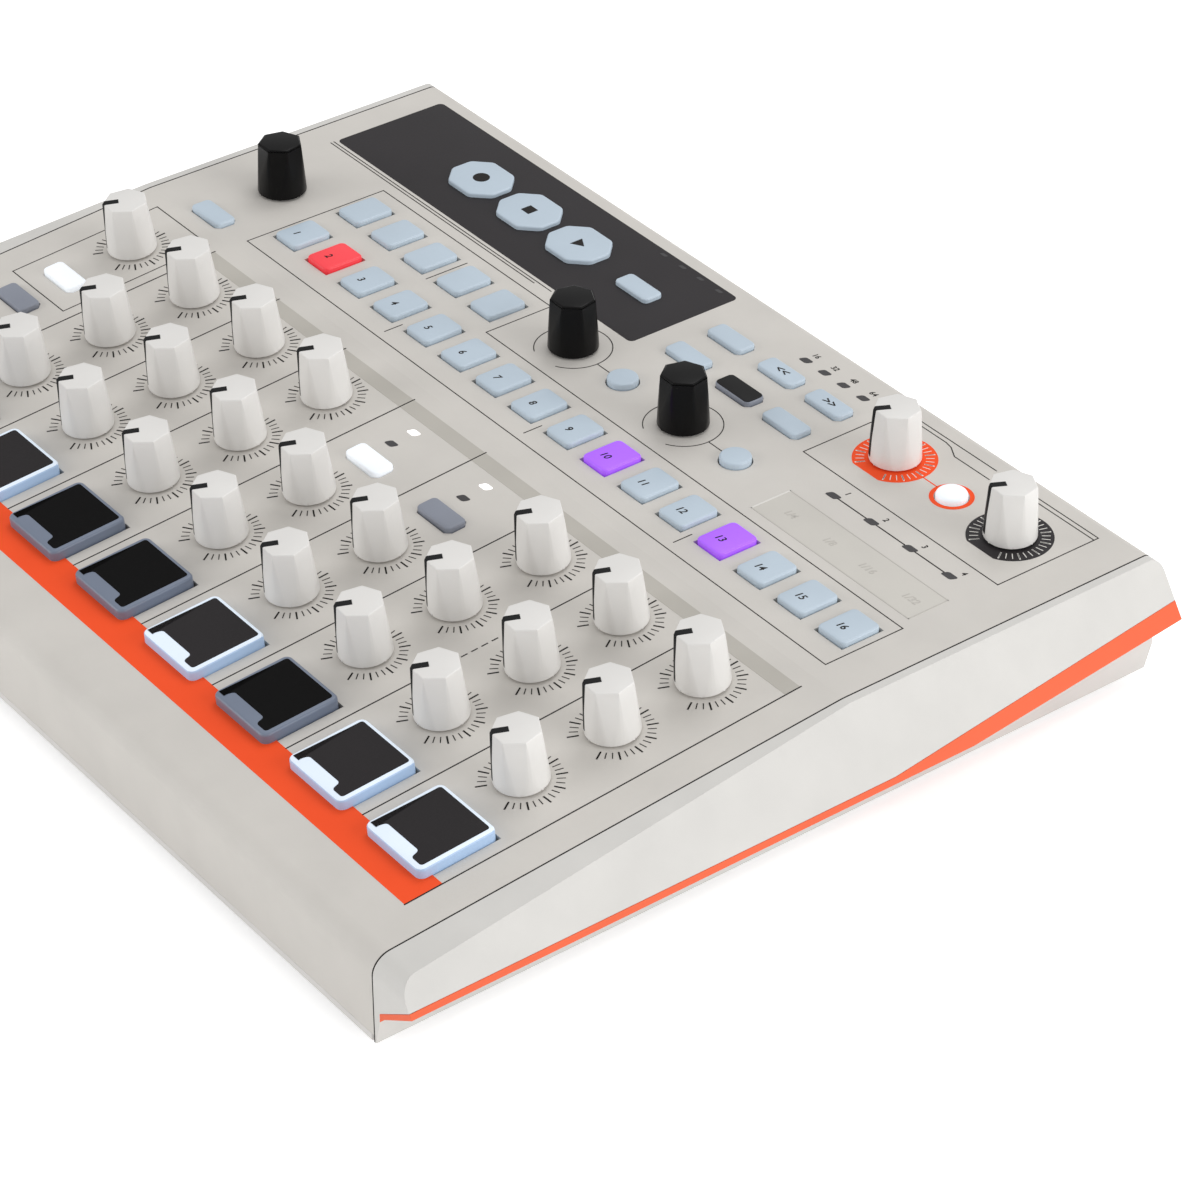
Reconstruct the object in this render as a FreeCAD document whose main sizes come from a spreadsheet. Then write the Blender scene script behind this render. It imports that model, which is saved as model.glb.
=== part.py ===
import FreeCAD, Part
import math
import os

os.makedirs("parts", exist_ok=True)
doc = FreeCAD.newDocument("drum_machine")

# Driving sizes in millimetres and degrees, copied to the spreadsheet below.
SIZES = {
    # case
    "shell_width": 287.2,
    "wall": 2.5,
    "front_reach": 25.2,
    "panel_front_y": -87.78,
    "panel_front_z": 28.2,
    "front_tilt": 4.6,
    "front_panel_length": 103.8,
    "rear_panel_length": 94.8,
    "front_radius": 5.0,
    "rear_radius": 3.0,
    "foot_height": 3.0,
    "floor_thickness": 1.8,
    "seam_gap": 0.3,
    # side cheeks and their trim
    "cheek_reach": 14.5,
    "cheek_tip_z": 19.1,
    "cheek_lean": 0.69,
    "cheek_foot_reach": 2.6,
    "cheek_foot_z": 11.3,
    "cheek_heel_reach": 0.7,
    "trim_front_thickness": 1.2,
    "trim_rear_thickness": 2.7,
    "trim_rise": 7.1,
    "trim_kink_y": 20.5,
    "trim_depth": 2.4,
    "trim_stub_depth": 2.2,
    "trim_lap": 0.3,
    "trim_fit": 0.1,
    # instrument columns
    "column_pitch": 30.0,
    "first_column_x": -91.85,
    "level_row": 33.1,
    "pitch_row": 58.5,
    "decay_row": 84.2,
    # knobs, shafts and their holders
    "knob_base_radius": 6.55,
    "knob_top_radius": 5.9,
    "knob_top_flats": 5.3,
    "knob_height": 14.5,
    "knob_lift": 0.5,
    "knob_flats": 7,
    "knob_rest_turn": -120,
    "shaft_radius": 3.0,
    "shaft_fit": 0.05,
    "shaft_in_knob": 10.0,
    "shaft_hole_gap": 0.6,
    "pot_side": 10.0,
    "pot_height": 6.5,
    "board_depth": 9.6,
    "board_thickness": 1.6,
    "shaft_in_pot": 5.0,
    # pads
    "pad_offset_x": 1.85,
    "pad_row": 7.3,
    "pad_side": 21.0,
    "pad_height": 2.8,
    "pad_travel": 0.8,
    # keys
    "step_pitch": 14.8,
    "first_step_x": -97.5,
    "step_row": 121.7,
    "mode_row": 141.6,
    "key_width": 9.4,
    "key_length": 11.8,
    "small_key_width": 13.2,
    "small_key_length": 6.0,
    "small_key_corner": 1.5,
    "key_height": 1.3,
    "key_gap": 0.35,
    "flange_rim": 0.9,
    "flange_thickness": 1.0,
    "flange_gap": 0.35,
    "key_travel": 0.8,
    "round_key_radius": 4.0,
    "round_key_height": 1.6,
    "encoder_row": 145.1,
    "swing_x": -10.9,
    "random_x": 33.8,
    "round_key_offset": 20.4,
    "transport_row": 176.0,
    "play_x": -49.4,
    "transport_pitch": 21.6,
    "transport_width": 18.4,
    "transport_length": 15.4,
    "transport_corner": 4.6,
    "edit_front_row": 165.0,
    "edit_rear_row": 178.5,
    "edit_first_x": 10.9,
    "edit_second_x": 31.0,
    "edit_third_x": 49.4,
    "sync_x": -22.7,
    "sync_row": 175.0,
    "tap_x": -120.9,
    "tap_row": 109.0,
    # output corner
    "distortion_x": 76.9,
    "master_x": 118.5,
    "output_row": 176.4,
    # left edge
    "metronome_row": 63.5,
    "left_key_pitch": 14.3,
    "tempo_x": -121.0,
    "tempo_row": 131.0,
    # type keys
    "type_row": 76.2,
    # touch strip and display
    "strip_x": 100.9,
    "strip_row": 141.4,
    "strip_width": 57.0,
    "strip_length": 11.8,
    "strip_recess": 0.4,
    "display_x": -117.0,
    "display_row": 175.4,
    "display_width": 26.0,
    "display_length": 15.0,
    "display_recess": 0.2,
    # sockets on the back
    "socket_z": 20.0,
    "socket_gap": 0.3,
    "jack_radius": 3.25,
    "jack_nose_radius": 5.0,
    "jack_depth": 24.0,
    "mini_radius": 1.85,
    "mini_nose_radius": 3.2,
    "mini_depth": 12.0,
    "din_radius": 6.6,
    "din_nose_radius": 8.4,
    "din_depth": 9.0,
    "usb_width": 9.2,
    "usb_height": 8.2,
    "usb_depth": 12.0,
    "usb_wall": 1.2,
    "power_radius": 3.0,
    "power_nose_radius": 4.6,
    "power_depth": 10.0,
    "switch_width": 12.0,
    "switch_height": 8.0,
    "switch_travel": 1.5,
    # feet and screws
    "foot_radius": 7.0,
    "foot_recess": 0.8,
    "foot_inset_x": 18.0,
    "foot_inset_y": 18.0,
    "screw_radius": 1.5,
    "screw_head_radius": 2.8,
    "screw_head_height": 1.2,
    "screw_length": 12.0,
    "boss_radius": 4.0,
}

sheet = doc.addObject("Spreadsheet::Sheet", "Sizes")
for number, (alias, value) in enumerate(SIZES.items(), start=1):
    sheet.set("A%d" % number, alias)
    sheet.set("B%d" % number, "%g" % value)
    sheet.setAlias("B%d" % number, alias)
doc.recompute()


class Named:
    """The driving sizes as plain attributes."""


d = Named()
for alias, value in SIZES.items():
    setattr(d, alias, value)

# Sizes that follow from the driving ones.
TILT = math.radians(d.front_tilt)
FRONT_Y = d.panel_front_y - d.front_reach
BEND_Y = d.panel_front_y + d.front_panel_length * math.cos(TILT)
REAR_Y = BEND_Y + d.rear_panel_length
TOP_Z = d.panel_front_z + d.front_panel_length * math.sin(TILT)
SHELL_BOTTOM_Z = d.foot_height + d.floor_thickness + d.seam_gap
SEAM_X = d.shell_width / 2
CHEEK_OUTER_X = SEAM_X + d.cheek_reach
CHEEK_FOOT_X = SEAM_X + d.cheek_foot_reach
CHEEK_HEEL_X = SEAM_X + d.cheek_heel_reach
FLANGE_TOP = -(d.wall + d.flange_gap)
FLANGE_BOTTOM = FLANGE_TOP - d.flange_thickness
BOARD_TOP = -d.board_depth
PARTS = []


def panel_z(y, inset=0.0):
    """Height of the panel's surface at y, or of a surface below it."""
    if y >= BEND_Y:
        return TOP_Z - inset
    return TOP_Z - (BEND_Y - y) * math.tan(TILT) - inset / math.cos(TILT)


def on_panel(x, along):
    """Placement of the panel's surface, along being measured up the slope from the pads."""
    if along < d.front_panel_length:
        y = d.panel_front_y + along * math.cos(TILT)
        turn = FreeCAD.Rotation(FreeCAD.Vector(1, 0, 0), d.front_tilt)
    else:
        y = BEND_Y + along - d.front_panel_length
        turn = FreeCAD.Rotation()
    return FreeCAD.Placement(FreeCAD.Vector(x, y, panel_z(y)), turn)


def column_x(column):
    """Centre line of the knobs in an instrument column, 0 being the one left of the first."""
    return d.first_column_x + (column - 1) * d.column_pitch


def step_x(step):
    return d.first_step_x + (step - 1) * d.step_pitch


def bind(thing, **cells):
    """Tie properties of an object to cells of the sheet."""
    for prop, expression in cells.items():
        thing.setExpression(prop.replace("__", "."), expression)
    return thing


def keep(thing, label):
    """Name a finished sub-part, so that it is written to a file."""
    thing.Label = label
    PARTS.append(thing)
    return thing


def new_body(label):
    return keep(doc.addObject("PartDesign::Body", label), label)


def new_sketch(body, name, role, offset=FreeCAD.Placement()):
    sketch = body.newObject("Sketcher::SketchObject", name)
    plane = [item for item in body.Origin.OriginFeatures if item.Role == role][0]
    sketch.AttachmentSupport = (plane, [""])
    sketch.MapMode = "FlatFace"
    sketch.AttachmentOffset = offset
    return sketch


def draw(sketch, corners):
    """Closed outline through (x, y, radius) corners, with an arc where the radius isn't 0."""
    points = []
    for index, (x, y, radius) in enumerate(corners):
        here = FreeCAD.Vector(x, y, 0)
        if radius == 0:
            points.append((here, None, here))
            continue
        before = FreeCAD.Vector(*corners[index - 1][:2], 0) - here
        after = FreeCAD.Vector(*corners[(index + 1) % len(corners)][:2], 0) - here
        before.normalize()
        after.normalize()
        half = before.getAngle(after) / 2
        reach = radius / math.tan(half)
        middle = before + after
        middle.normalize()
        centre_away = radius / math.sin(half)
        top = here + middle * (centre_away - radius)
        points.append((here + before * reach, top, here + after * reach))
    for index, (start, top, end) in enumerate(points):
        if top is not None:
            sketch.addGeometry(Part.Arc(start, top, end), False)
        following = points[(index + 1) % len(points)][0]
        sketch.addGeometry(Part.LineSegment(end, following), False)


def draw_block(sketch, x, y, width, length, corner=0.0):
    """Rectangle about a centre, with its corners cut off where corner isn't 0."""
    wide = width / 2
    deep = length / 2
    if corner == 0:
        outline = [(-wide, -deep), (wide, -deep), (wide, deep), (-wide, deep)]
    else:
        outline = [
            (-wide + corner, -deep), (wide - corner, -deep), (wide, -deep + corner), (wide, deep - corner),
            (wide - corner, deep), (-wide + corner, deep), (-wide, deep - corner), (-wide, -deep + corner),
        ]
    draw(sketch, [(x + right, y + up, 0) for right, up in outline])


def draw_circle(sketch, x, y, radius):
    sketch.addGeometry(Part.Circle(FreeCAD.Vector(x, y, 0), FreeCAD.Vector(0, 0, 1), radius), False)


def pad(body, sketch, expression, midplane=False, reverse=False):
    feature = body.newObject("PartDesign::Pad", sketch.Name + "_pad")
    feature.Profile = sketch
    feature.Midplane = midplane
    feature.Reversed = reverse
    bind(feature, Length=expression)
    sketch.Visibility = False
    return feature


def pocket(body, sketch, expression, midplane=False, reverse=False):
    feature = body.newObject("PartDesign::Pocket", sketch.Name + "_pocket")
    feature.Profile = sketch
    feature.Midplane = midplane
    feature.Reversed = reverse
    bind(feature, Length=expression)
    sketch.Visibility = False
    return feature


def side_corners(inset, bottom):
    """Side outline of the case as (y, z, radius) corners, or of its cavity for an inset."""
    front = FRONT_Y + inset
    rear = REAR_Y - inset
    bend = BEND_Y + inset * math.tan(TILT / 2)
    return [
        (front, bottom, 0),
        (rear, bottom, 0),
        (rear, TOP_Z - inset, max(d.rear_radius - inset, 0.5)),
        (bend, TOP_Z - inset, 0),
        (front, panel_z(front, inset), max(d.front_radius - inset, 0.5)),
    ]


# Every control: its name, column centre, distance along the panel and kind.
KNOBS = {
    "kick_level_knob": (column_x(1), d.level_row),
    "snare_one_level_knob": (column_x(2), d.level_row),
    "snare_two_level_knob": (column_x(3), d.level_row),
    "tom_level_knob": (column_x(4), d.level_row),
    "cymbal_level_knob": (column_x(5), d.level_row),
    "closed_hat_level_knob": (column_x(6), d.level_row),
    "open_hat_level_knob": (column_x(7), d.level_row),
    "fm_level_knob": (column_x(8), d.level_row),
    "kick_pitch_knob": (column_x(1), d.pitch_row),
    "snare_one_tone_knob": (column_x(2), d.pitch_row),
    "snare_two_tone_knob": (column_x(3), d.pitch_row),
    "tom_pitch_knob": (column_x(4), d.pitch_row),
    "cymbal_decay_knob": (column_x(5), d.pitch_row),
    "hats_tone_knob": (column_x(6), d.pitch_row),
    "open_hat_decay_knob": (column_x(7), d.pitch_row),
    "carrier_pitch_knob": (column_x(8), d.pitch_row),
    "metronome_volume_knob": (column_x(0), d.decay_row),
    "kick_decay_knob": (column_x(1), d.decay_row),
    "snare_one_decay_knob": (column_x(2), d.decay_row),
    "snare_two_decay_knob": (column_x(3), d.decay_row),
    "modulator_pitch_knob": (column_x(6), d.decay_row),
    "fm_amount_knob": (column_x(7), d.decay_row),
    "fm_decay_knob": (column_x(8), d.decay_row),
    "distortion_knob": (d.distortion_x, d.output_row),
    "master_volume_knob": (d.master_x, d.output_row),
}
ENCODERS = {
    "swing_encoder": (d.swing_x, d.encoder_row),
    "random_encoder": (d.random_x, d.encoder_row),
    "tempo_encoder": (d.tempo_x, d.tempo_row),
}
PADS = ["kick", "snare_one", "snare_two", "tom", "cymbal", "closed_hat", "open_hat", "fm"]
PAD_PLACES = [(column_x(column) + d.pad_offset_x, d.pad_row) for column in range(1, 9)]
STEP_PLACES = [(step_x(step), d.step_row) for step in range(1, 17)]
MODE_PLACES = [(step_x(step), d.mode_row) for step in range(1, 6)]
EDIT_PLACES = [(x, row) for row in (d.edit_front_row, d.edit_rear_row)
               for x in (d.edit_first_x, d.edit_second_x, d.edit_third_x)]
LEFT_PLACES = [(column_x(0), d.metronome_row - row * d.left_key_pitch) for row in range(4)]
TYPE_PLACES = [(column_x(column), d.type_row) for column in (4, 5)]
SYNC_PLACES = [(d.sync_x, d.sync_row), (d.tap_x, d.tap_row)]
ROUND_PLACES = [
    (d.swing_x + d.round_key_offset, d.encoder_row),
    (d.random_x + d.round_key_offset, d.encoder_row),
    ((d.distortion_x + d.master_x) / 2, d.output_row),
]
TRANSPORT = {
    "play_button": (d.play_x, d.transport_row),
    "stop_button": (d.play_x - d.transport_pitch, d.transport_row),
    "record_button": (d.play_x - 2 * d.transport_pitch, d.transport_row),
}
SMALL_PLACES = EDIT_PLACES + LEFT_PLACES + TYPE_PLACES + SYNC_PLACES

# Sockets on the back: x, bore radius, nose radius.
JACKS = [
    (-28.0, "mini"), (-16.0, "mini"), (-4.0, "mini"), (8.0, "mini"), (24.0, "mini"), (36.0, "mini"),
    (-62.0, "jack"), (-44.0, "jack"), (58.0, "din"), (80.0, "din"), (-110.0, "power"),
]
USB_X = -92.0
SWITCH_X = -126.0


def cut_panel(body, name, front):
    """Openings for the controls in the front or the rear part of the panel."""
    where = on_panel(0, 0 if front else d.front_panel_length)
    start = 0 if front else d.front_panel_length
    sketch = new_sketch(body, name, "XY_Plane", where)

    def here(along):
        return (along < d.front_panel_length) == front

    for x, along in list(KNOBS.values()) + list(ENCODERS.values()):
        if here(along):
            draw_circle(sketch, x, along - start, d.shaft_radius + d.shaft_hole_gap)
    for x, along in PAD_PLACES:
        if here(along):
            side = d.pad_side + 2 * d.key_gap
            draw_block(sketch, x, along - start, side, side)
    for x, along in STEP_PLACES + MODE_PLACES:
        if here(along):
            draw_block(sketch, x, along - start, d.key_width + 2 * d.key_gap, d.key_length + 2 * d.key_gap)
    for x, along in SMALL_PLACES:
        if here(along):
            draw_block(sketch, x, along - start, d.small_key_width + 2 * d.key_gap,
                       d.small_key_length + 2 * d.key_gap, d.small_key_corner)
    for x, along in ROUND_PLACES:
        if here(along):
            draw_circle(sketch, x, along - start, d.round_key_radius + d.key_gap)
    for x, along in TRANSPORT.values():
        if here(along):
            draw_block(sketch, x, along - start, d.transport_width + 2 * d.key_gap,
                       d.transport_length + 2 * d.key_gap, d.transport_corner)
    if not front:
        draw_block(sketch, d.strip_x, d.strip_row - start, d.strip_width + d.seam_gap,
                   d.strip_length + d.seam_gap)
        draw_block(sketch, d.display_x, d.display_row - start, d.display_width + d.seam_gap,
                   d.display_length + d.seam_gap)
    pocket(body, sketch, "Sizes.wall + 1")


def top_shell():
    """One moulding: sloping front, panel and back wall."""
    body = new_body("top_shell")
    outside = new_sketch(body, "shell_side", "YZ_Plane")
    draw(outside, side_corners(0, SHELL_BOTTOM_Z))
    pad(body, outside, "Sizes.shell_width", midplane=True)
    inside = new_sketch(body, "shell_cavity", "YZ_Plane")
    draw(inside, side_corners(d.wall, SHELL_BOTTOM_Z - 1))
    pocket(body, inside, "Sizes.shell_width - 2 * Sizes.wall", midplane=True)
    cut_panel(body, "front_openings", True)
    cut_panel(body, "rear_openings", False)
    back = new_sketch(body, "socket_openings", "XZ_Plane",
                      FreeCAD.Placement(FreeCAD.Vector(0, 0, -REAR_Y), FreeCAD.Rotation()))
    for x, kind in JACKS:
        draw_circle(back, x, d.socket_z, getattr(d, kind + "_nose_radius") + d.socket_gap)
    usb = 2 * (d.usb_wall + d.socket_gap)
    draw_block(back, USB_X, d.socket_z, d.usb_width + usb, d.usb_height + usb)
    draw_block(back, SWITCH_X, d.socket_z, d.switch_width + 2 * d.key_gap, d.switch_height + 2 * d.key_gap)
    pocket(body, back, "Sizes.wall + 1", reverse=True)
    body.Tip = body.Group[-1]
    return body


def screw_places():
    """The six case screws, seen from above."""
    reach_x = SEAM_X - d.foot_inset_x * 2
    return [(side * reach_x, y) for side in (-1, 1) for y in (FRONT_Y + 20, 0.0, REAR_Y - 20)]


def foot_places():
    reach_x = SEAM_X - d.foot_inset_x
    return [(side * reach_x, y) for side in (-1, 1)
            for y in (FRONT_Y + d.foot_inset_y, REAR_Y - d.foot_inset_y)]


def bottom_shell():
    """Floor plate with a lip inside the top shell, screw bosses and foot recesses."""
    body = new_body("bottom_shell")
    level = FreeCAD.Placement(FreeCAD.Vector(0, 0, d.foot_height), FreeCAD.Rotation())
    middle = (FRONT_Y + REAR_Y) / 2
    length = REAR_Y - FRONT_Y
    plate = new_sketch(body, "floor_plate", "XY_Plane", level)
    draw_block(plate, 0, middle, d.shell_width - d.seam_gap, length - d.seam_gap, 1.0)
    pad(body, plate, "Sizes.floor_thickness")
    lip = new_sketch(body, "floor_lip", "XY_Plane", level)
    outer = 2 * (d.wall + d.seam_gap)
    inner = outer + 2 * d.floor_thickness
    draw_block(lip, 0, middle, d.shell_width - outer, length - outer)
    draw_block(lip, 0, middle, d.shell_width - inner, length - inner)
    pad(body, lip, "Sizes.floor_thickness + 3")
    bosses = new_sketch(body, "screw_bosses", "XY_Plane", level)
    for x, y in screw_places():
        draw_circle(bosses, x, y, d.boss_radius)
    pad(body, bosses, "Sizes.screw_length - 1")
    holes = new_sketch(body, "screw_holes", "XY_Plane", level)
    for x, y in screw_places():
        draw_circle(holes, x, y, d.screw_radius + d.trim_fit)
    pocket(body, holes, "Sizes.screw_length", reverse=True)
    recesses = new_sketch(body, "screw_head_recesses", "XY_Plane", level)
    for x, y in screw_places():
        draw_circle(recesses, x, y, d.screw_head_radius + 0.2)
    pocket(body, recesses, "Sizes.screw_head_height + 0.1", reverse=True)
    feet = new_sketch(body, "foot_recesses", "XY_Plane", level)
    for x, y in foot_places():
        draw_circle(feet, x, y, d.foot_radius + d.trim_fit)
    pocket(body, feet, "Sizes.foot_recess", reverse=True)
    vents = new_sketch(body, "vent_slots", "XY_Plane", level)
    for index in range(9):
        draw_block(vents, (index - 4) * 9.0, middle, 2.0, 40.0)
    pocket(body, vents, "Sizes.floor_thickness + 1", reverse=True)
    body.Tip = body.Group[-1]
    return body


def cheek_face_x(z, out=0.0):
    """X of the cheek's leaning outer face at a height."""
    return CHEEK_OUTER_X + out - (z - d.cheek_tip_z) * d.cheek_lean


def trim_lines(grow=0.0):
    """Side view of the orange trim: level at the front, then rising to the back."""
    kink = d.trim_kink_y
    front = FRONT_Y + d.trim_stub_depth - d.trim_lap - grow
    rear = REAR_Y + 1
    slope = d.trim_rise / (REAR_Y - kink)
    top_front = d.cheek_tip_z + d.trim_front_thickness + grow
    low_kink = top_front - 2 * grow - d.trim_rear_thickness
    return [
        (front, d.cheek_tip_z - grow, 0),
        (kink, low_kink, 0),
        (rear, low_kink + slope * (rear - kink) - 1.2, 0),
        (rear, top_front + slope * (rear - kink), 0),
        (kink, top_front, 0),
        (front, top_front, 0),
    ]


def stub_corners(grow=0.0):
    """Front view of the trim's stub, which follows the cheek's lower edge."""
    rise = d.trim_front_thickness + grow
    return [
        (CHEEK_FOOT_X - 0.2, d.cheek_foot_z - grow - 1, 0),
        (CHEEK_OUTER_X + grow + 1, d.cheek_tip_z - grow - 1, 0),
        (cheek_face_x(d.cheek_tip_z + rise) + 1, d.cheek_tip_z + rise, 0),
        (cheek_face_x(d.cheek_tip_z + rise), d.cheek_tip_z + rise, 0),
        (CHEEK_FOOT_X - 0.2, d.cheek_foot_z + rise + 0.2, 0),
    ]


def outside_corners(out=0.0):
    """All that lies outside the leaning face and the lower face of a cheek."""
    far = CHEEK_OUTER_X + 30
    return [
        (cheek_face_x(60, out), 60, 0),
        (CHEEK_OUTER_X + out, d.cheek_tip_z, 0),
        (CHEEK_FOOT_X + out, d.cheek_foot_z, 0),
        (CHEEK_HEEL_X, d.foot_height + d.seam_gap, 0),
        (CHEEK_HEEL_X, -20, 0),
        (far, -20, 0),
        (far, 60, 0),
    ]


def from_x(x):
    """Offset that moves a sketch on the YZ plane out to x."""
    return FreeCAD.Placement(FreeCAD.Vector(0, 0, x), FreeCAD.Rotation())


def from_y(y):
    """Offset that moves a sketch on the XZ plane back to y."""
    return FreeCAD.Placement(FreeCAD.Vector(0, 0, -y), FreeCAD.Rotation())


def right_cheek():
    """Side cover: the case's outline pulled out to a leaning face, with a slot for the trim."""
    body = new_body("right_side_cheek")
    start = SEAM_X + d.seam_gap / 2
    outline = new_sketch(body, "cheek_side", "YZ_Plane", from_x(start))
    draw(outline, side_corners(0, d.foot_height + d.seam_gap))
    pad(body, outline, "Sizes.cheek_reach + 5")
    outside = new_sketch(body, "cheek_outside", "XZ_Plane", from_y(0))
    draw(outside, outside_corners())
    pocket(body, outside, "1000", midplane=True)
    below = new_sketch(body, "cheek_undercut", "YZ_Plane", from_x(CHEEK_FOOT_X))
    band = trim_lines()
    draw(below, [band[1], (band[1][0], -5, 0), (band[2][0], -5, 0), band[2]])
    pocket(body, below, "30", reverse=True)
    slot = new_sketch(body, "trim_slot", "YZ_Plane", from_x(CHEEK_OUTER_X - d.trim_depth - 8))
    draw(slot, trim_lines(d.trim_fit))
    pocket(body, slot, "30", reverse=True)
    stub = new_sketch(body, "stub_slot", "XZ_Plane", from_y(FRONT_Y + d.trim_stub_depth + d.trim_fit))
    draw(stub, stub_corners(d.trim_fit))
    pocket(body, stub, "30", reverse=True)
    body.Tip = body.Group[-1]
    return body


def right_trim():
    """Orange strip in the slot of the right cheek, turning the front corner."""
    body = doc.addObject("PartDesign::Body", "right_trim")
    band = new_sketch(body, "trim_band", "YZ_Plane", from_x(CHEEK_OUTER_X - d.trim_depth - 8 + d.trim_fit))
    draw(band, trim_lines())
    pad(body, band, "30")
    stub = new_sketch(body, "trim_stub", "XZ_Plane", from_y(FRONT_Y + d.trim_stub_depth))
    draw(stub, stub_corners())
    pad(body, stub, "Sizes.trim_stub_depth")
    outside = new_sketch(body, "trim_outside", "XZ_Plane", from_y(0))
    draw(outside, outside_corners())
    pocket(body, outside, "1000", midplane=True)
    ends = new_sketch(body, "trim_ends", "YZ_Plane", from_x(100))
    draw(ends, [(FRONT_Y - 40, -20, 0), (FRONT_Y, -20, 0), (FRONT_Y, 60, 0), (FRONT_Y - 40, 60, 0)])
    draw(ends, [(REAR_Y, -20, 0), (REAR_Y + 40, -20, 0), (REAR_Y + 40, 60, 0), (REAR_Y, 60, 0)])
    pocket(body, ends, "100", reverse=True)
    body.Tip = body.Group[-1]
    return body


def mirrored(source, name):
    other = doc.addObject("Part::Mirroring", name)
    other.Source = source
    other.Normal = FreeCAD.Vector(1, 0, 0)
    return other


def compound(label, pieces):
    """Several separate solids in one named sub-part."""
    group = doc.addObject("Part::Compound", label)
    group.Links = pieces
    return keep(group, label)


def cylinder(name, radius, height, place):
    part = doc.addObject("Part::Cylinder", name)
    bind(part, Radius=radius, Height=height)
    part.Placement = place
    return part


def box(name, width, length, height, place):
    """Box with its centre line at the place, growing upward."""
    part = doc.addObject("Part::Box", name)
    bind(part, Length=width, Width=length, Height=height)
    wide = FreeCAD.Units.Quantity(part.evalExpression(width)).Value
    deep = FreeCAD.Units.Quantity(part.evalExpression(length)).Value
    centre = FreeCAD.Vector(-wide / 2, -deep / 2, 0)
    part.Placement = place.multiply(FreeCAD.Placement(centre, FreeCAD.Rotation()))
    return part


def cut(name, base, tool):
    part = doc.addObject("Part::Cut", name)
    part.Base = base
    part.Tool = tool
    return part


def raised(distance):
    return FreeCAD.Placement(FreeCAD.Vector(0, 0, distance), FreeCAD.Rotation())


def flats_outline(name, radius, height):
    """Outline of the flats round a knob, with a corner where the pointer is."""
    shape = doc.addObject("Part::RegularPolygon", name)
    shape.Polygon = int(d.knob_flats)
    bind(shape, Circumradius="%s / cos(180 / Sizes.knob_flats)" % radius)
    shape.Placement = FreeCAD.Placement(FreeCAD.Vector(0, 0, height),
                                        FreeCAD.Rotation(FreeCAD.Vector(0, 0, 1), d.knob_rest_turn))
    return shape


def knob(label, x, along):
    """Knob standing on the panel with its shaft, as two solids."""
    cone = doc.addObject("Part::Cone", label + "_cone")
    bind(cone, Radius1="Sizes.knob_base_radius", Radius2="Sizes.knob_top_radius", Height="Sizes.knob_height")
    cone.Placement = raised(d.knob_lift)
    facets = doc.addObject("Part::Loft", label + "_facets")
    facets.Sections = [
        flats_outline(label + "_low", "Sizes.knob_base_radius", d.knob_lift),
        flats_outline(label + "_high", "Sizes.knob_top_flats", d.knob_lift + d.knob_height),
    ]
    facets.Solid = True
    facets.Ruled = True
    form = doc.addObject("Part::Common", label + "_form")
    form.Base = cone
    form.Tool = facets
    bore = cylinder(label + "_bore", "Sizes.shaft_radius + 0.02", "Sizes.shaft_in_knob", raised(0))
    shaft_low = BOARD_TOP + d.pot_height - d.shaft_in_pot
    shaft = cylinder(label + "_shaft", "Sizes.shaft_radius",
                     "Sizes.shaft_in_knob - 0.1 - (%g)" % shaft_low, raised(shaft_low))
    knob_with_bore = cut(label + "_cap", form, bore)
    group = compound(label, [knob_with_bore, shaft])
    group.Placement = on_panel(x, along)
    return group


def pot_housings():
    """A holder under the panel for every shaft, standing on the circuit board."""
    pieces = []
    for label, (x, along) in list(KNOBS.items()) + list(ENCODERS.items()):
        where = on_panel(x, along)
        low = where.multiply(raised(BOARD_TOP + 0.02))
        bore_low = where.multiply(raised(BOARD_TOP + d.pot_height - d.shaft_in_pot - 0.3))
        block = box(label + "_pot", "Sizes.pot_side", "Sizes.pot_side", "Sizes.pot_height", low)
        bore = cylinder(label + "_pot_bore", "Sizes.shaft_radius + Sizes.shaft_fit",
                        "Sizes.shaft_in_pot + 5", bore_low)
        pieces.append(cut(label + "_holder", block, bore))
    return compound("pot_housings", pieces)


def key_form(name, outline, height):
    """Model of one key: a cap through the panel and a wider flange that holds it in."""
    body = doc.addObject("PartDesign::Body", name)
    flange = new_sketch(body, name + "_flange", "XY_Plane", raised(FLANGE_BOTTOM))
    outline(flange, d.flange_rim)
    pad(body, flange, "Sizes.flange_thickness")
    cap = new_sketch(body, name + "_cap", "XY_Plane", raised(FLANGE_BOTTOM))
    outline(cap, 0.0)
    pad(body, cap, "%s + Sizes.wall + Sizes.flange_gap + Sizes.flange_thickness" % height)
    return body


def square_outline(width, length, corner):
    def outline(sketch, grow):
        draw_block(sketch, 0, 0, width + 2 * grow, length + 2 * grow, corner)
    return outline


def round_outline(radius):
    def outline(sketch, grow):
        draw_circle(sketch, 0, 0, radius + grow)
    return outline


def key_group(label, form, places):
    """Copies of one key as separate solids, which no pattern makes in one sub-part."""
    copies = []
    for x, along in places:
        shape = form.Shape.copy()
        shape.Placement = on_panel(x, along)
        copies.append(shape)
    group = doc.addObject("Part::Feature", label)
    group.Shape = copies[0] if len(copies) == 1 else Part.makeCompound(copies)
    return keep(group, label)


def circuit_boards():
    """Two boards under the panel: one along the slope, one under the level part."""
    front_length = d.front_panel_length - 16
    front = box("front_board", "Sizes.shell_width - 4 * Sizes.wall", "%g" % front_length,
                "Sizes.board_thickness", on_panel(0, front_length / 2 - 4).multiply(
                    raised(BOARD_TOP - d.board_thickness)))
    rear_length = d.rear_panel_length - 32
    rear = box("rear_board", "Sizes.shell_width - 4 * Sizes.wall", "%g" % rear_length,
               "Sizes.board_thickness", on_panel(0, d.front_panel_length + 4 + rear_length / 2).multiply(
                   raised(BOARD_TOP - d.board_thickness)))
    return compound("circuit_boards", [front, rear])


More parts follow.
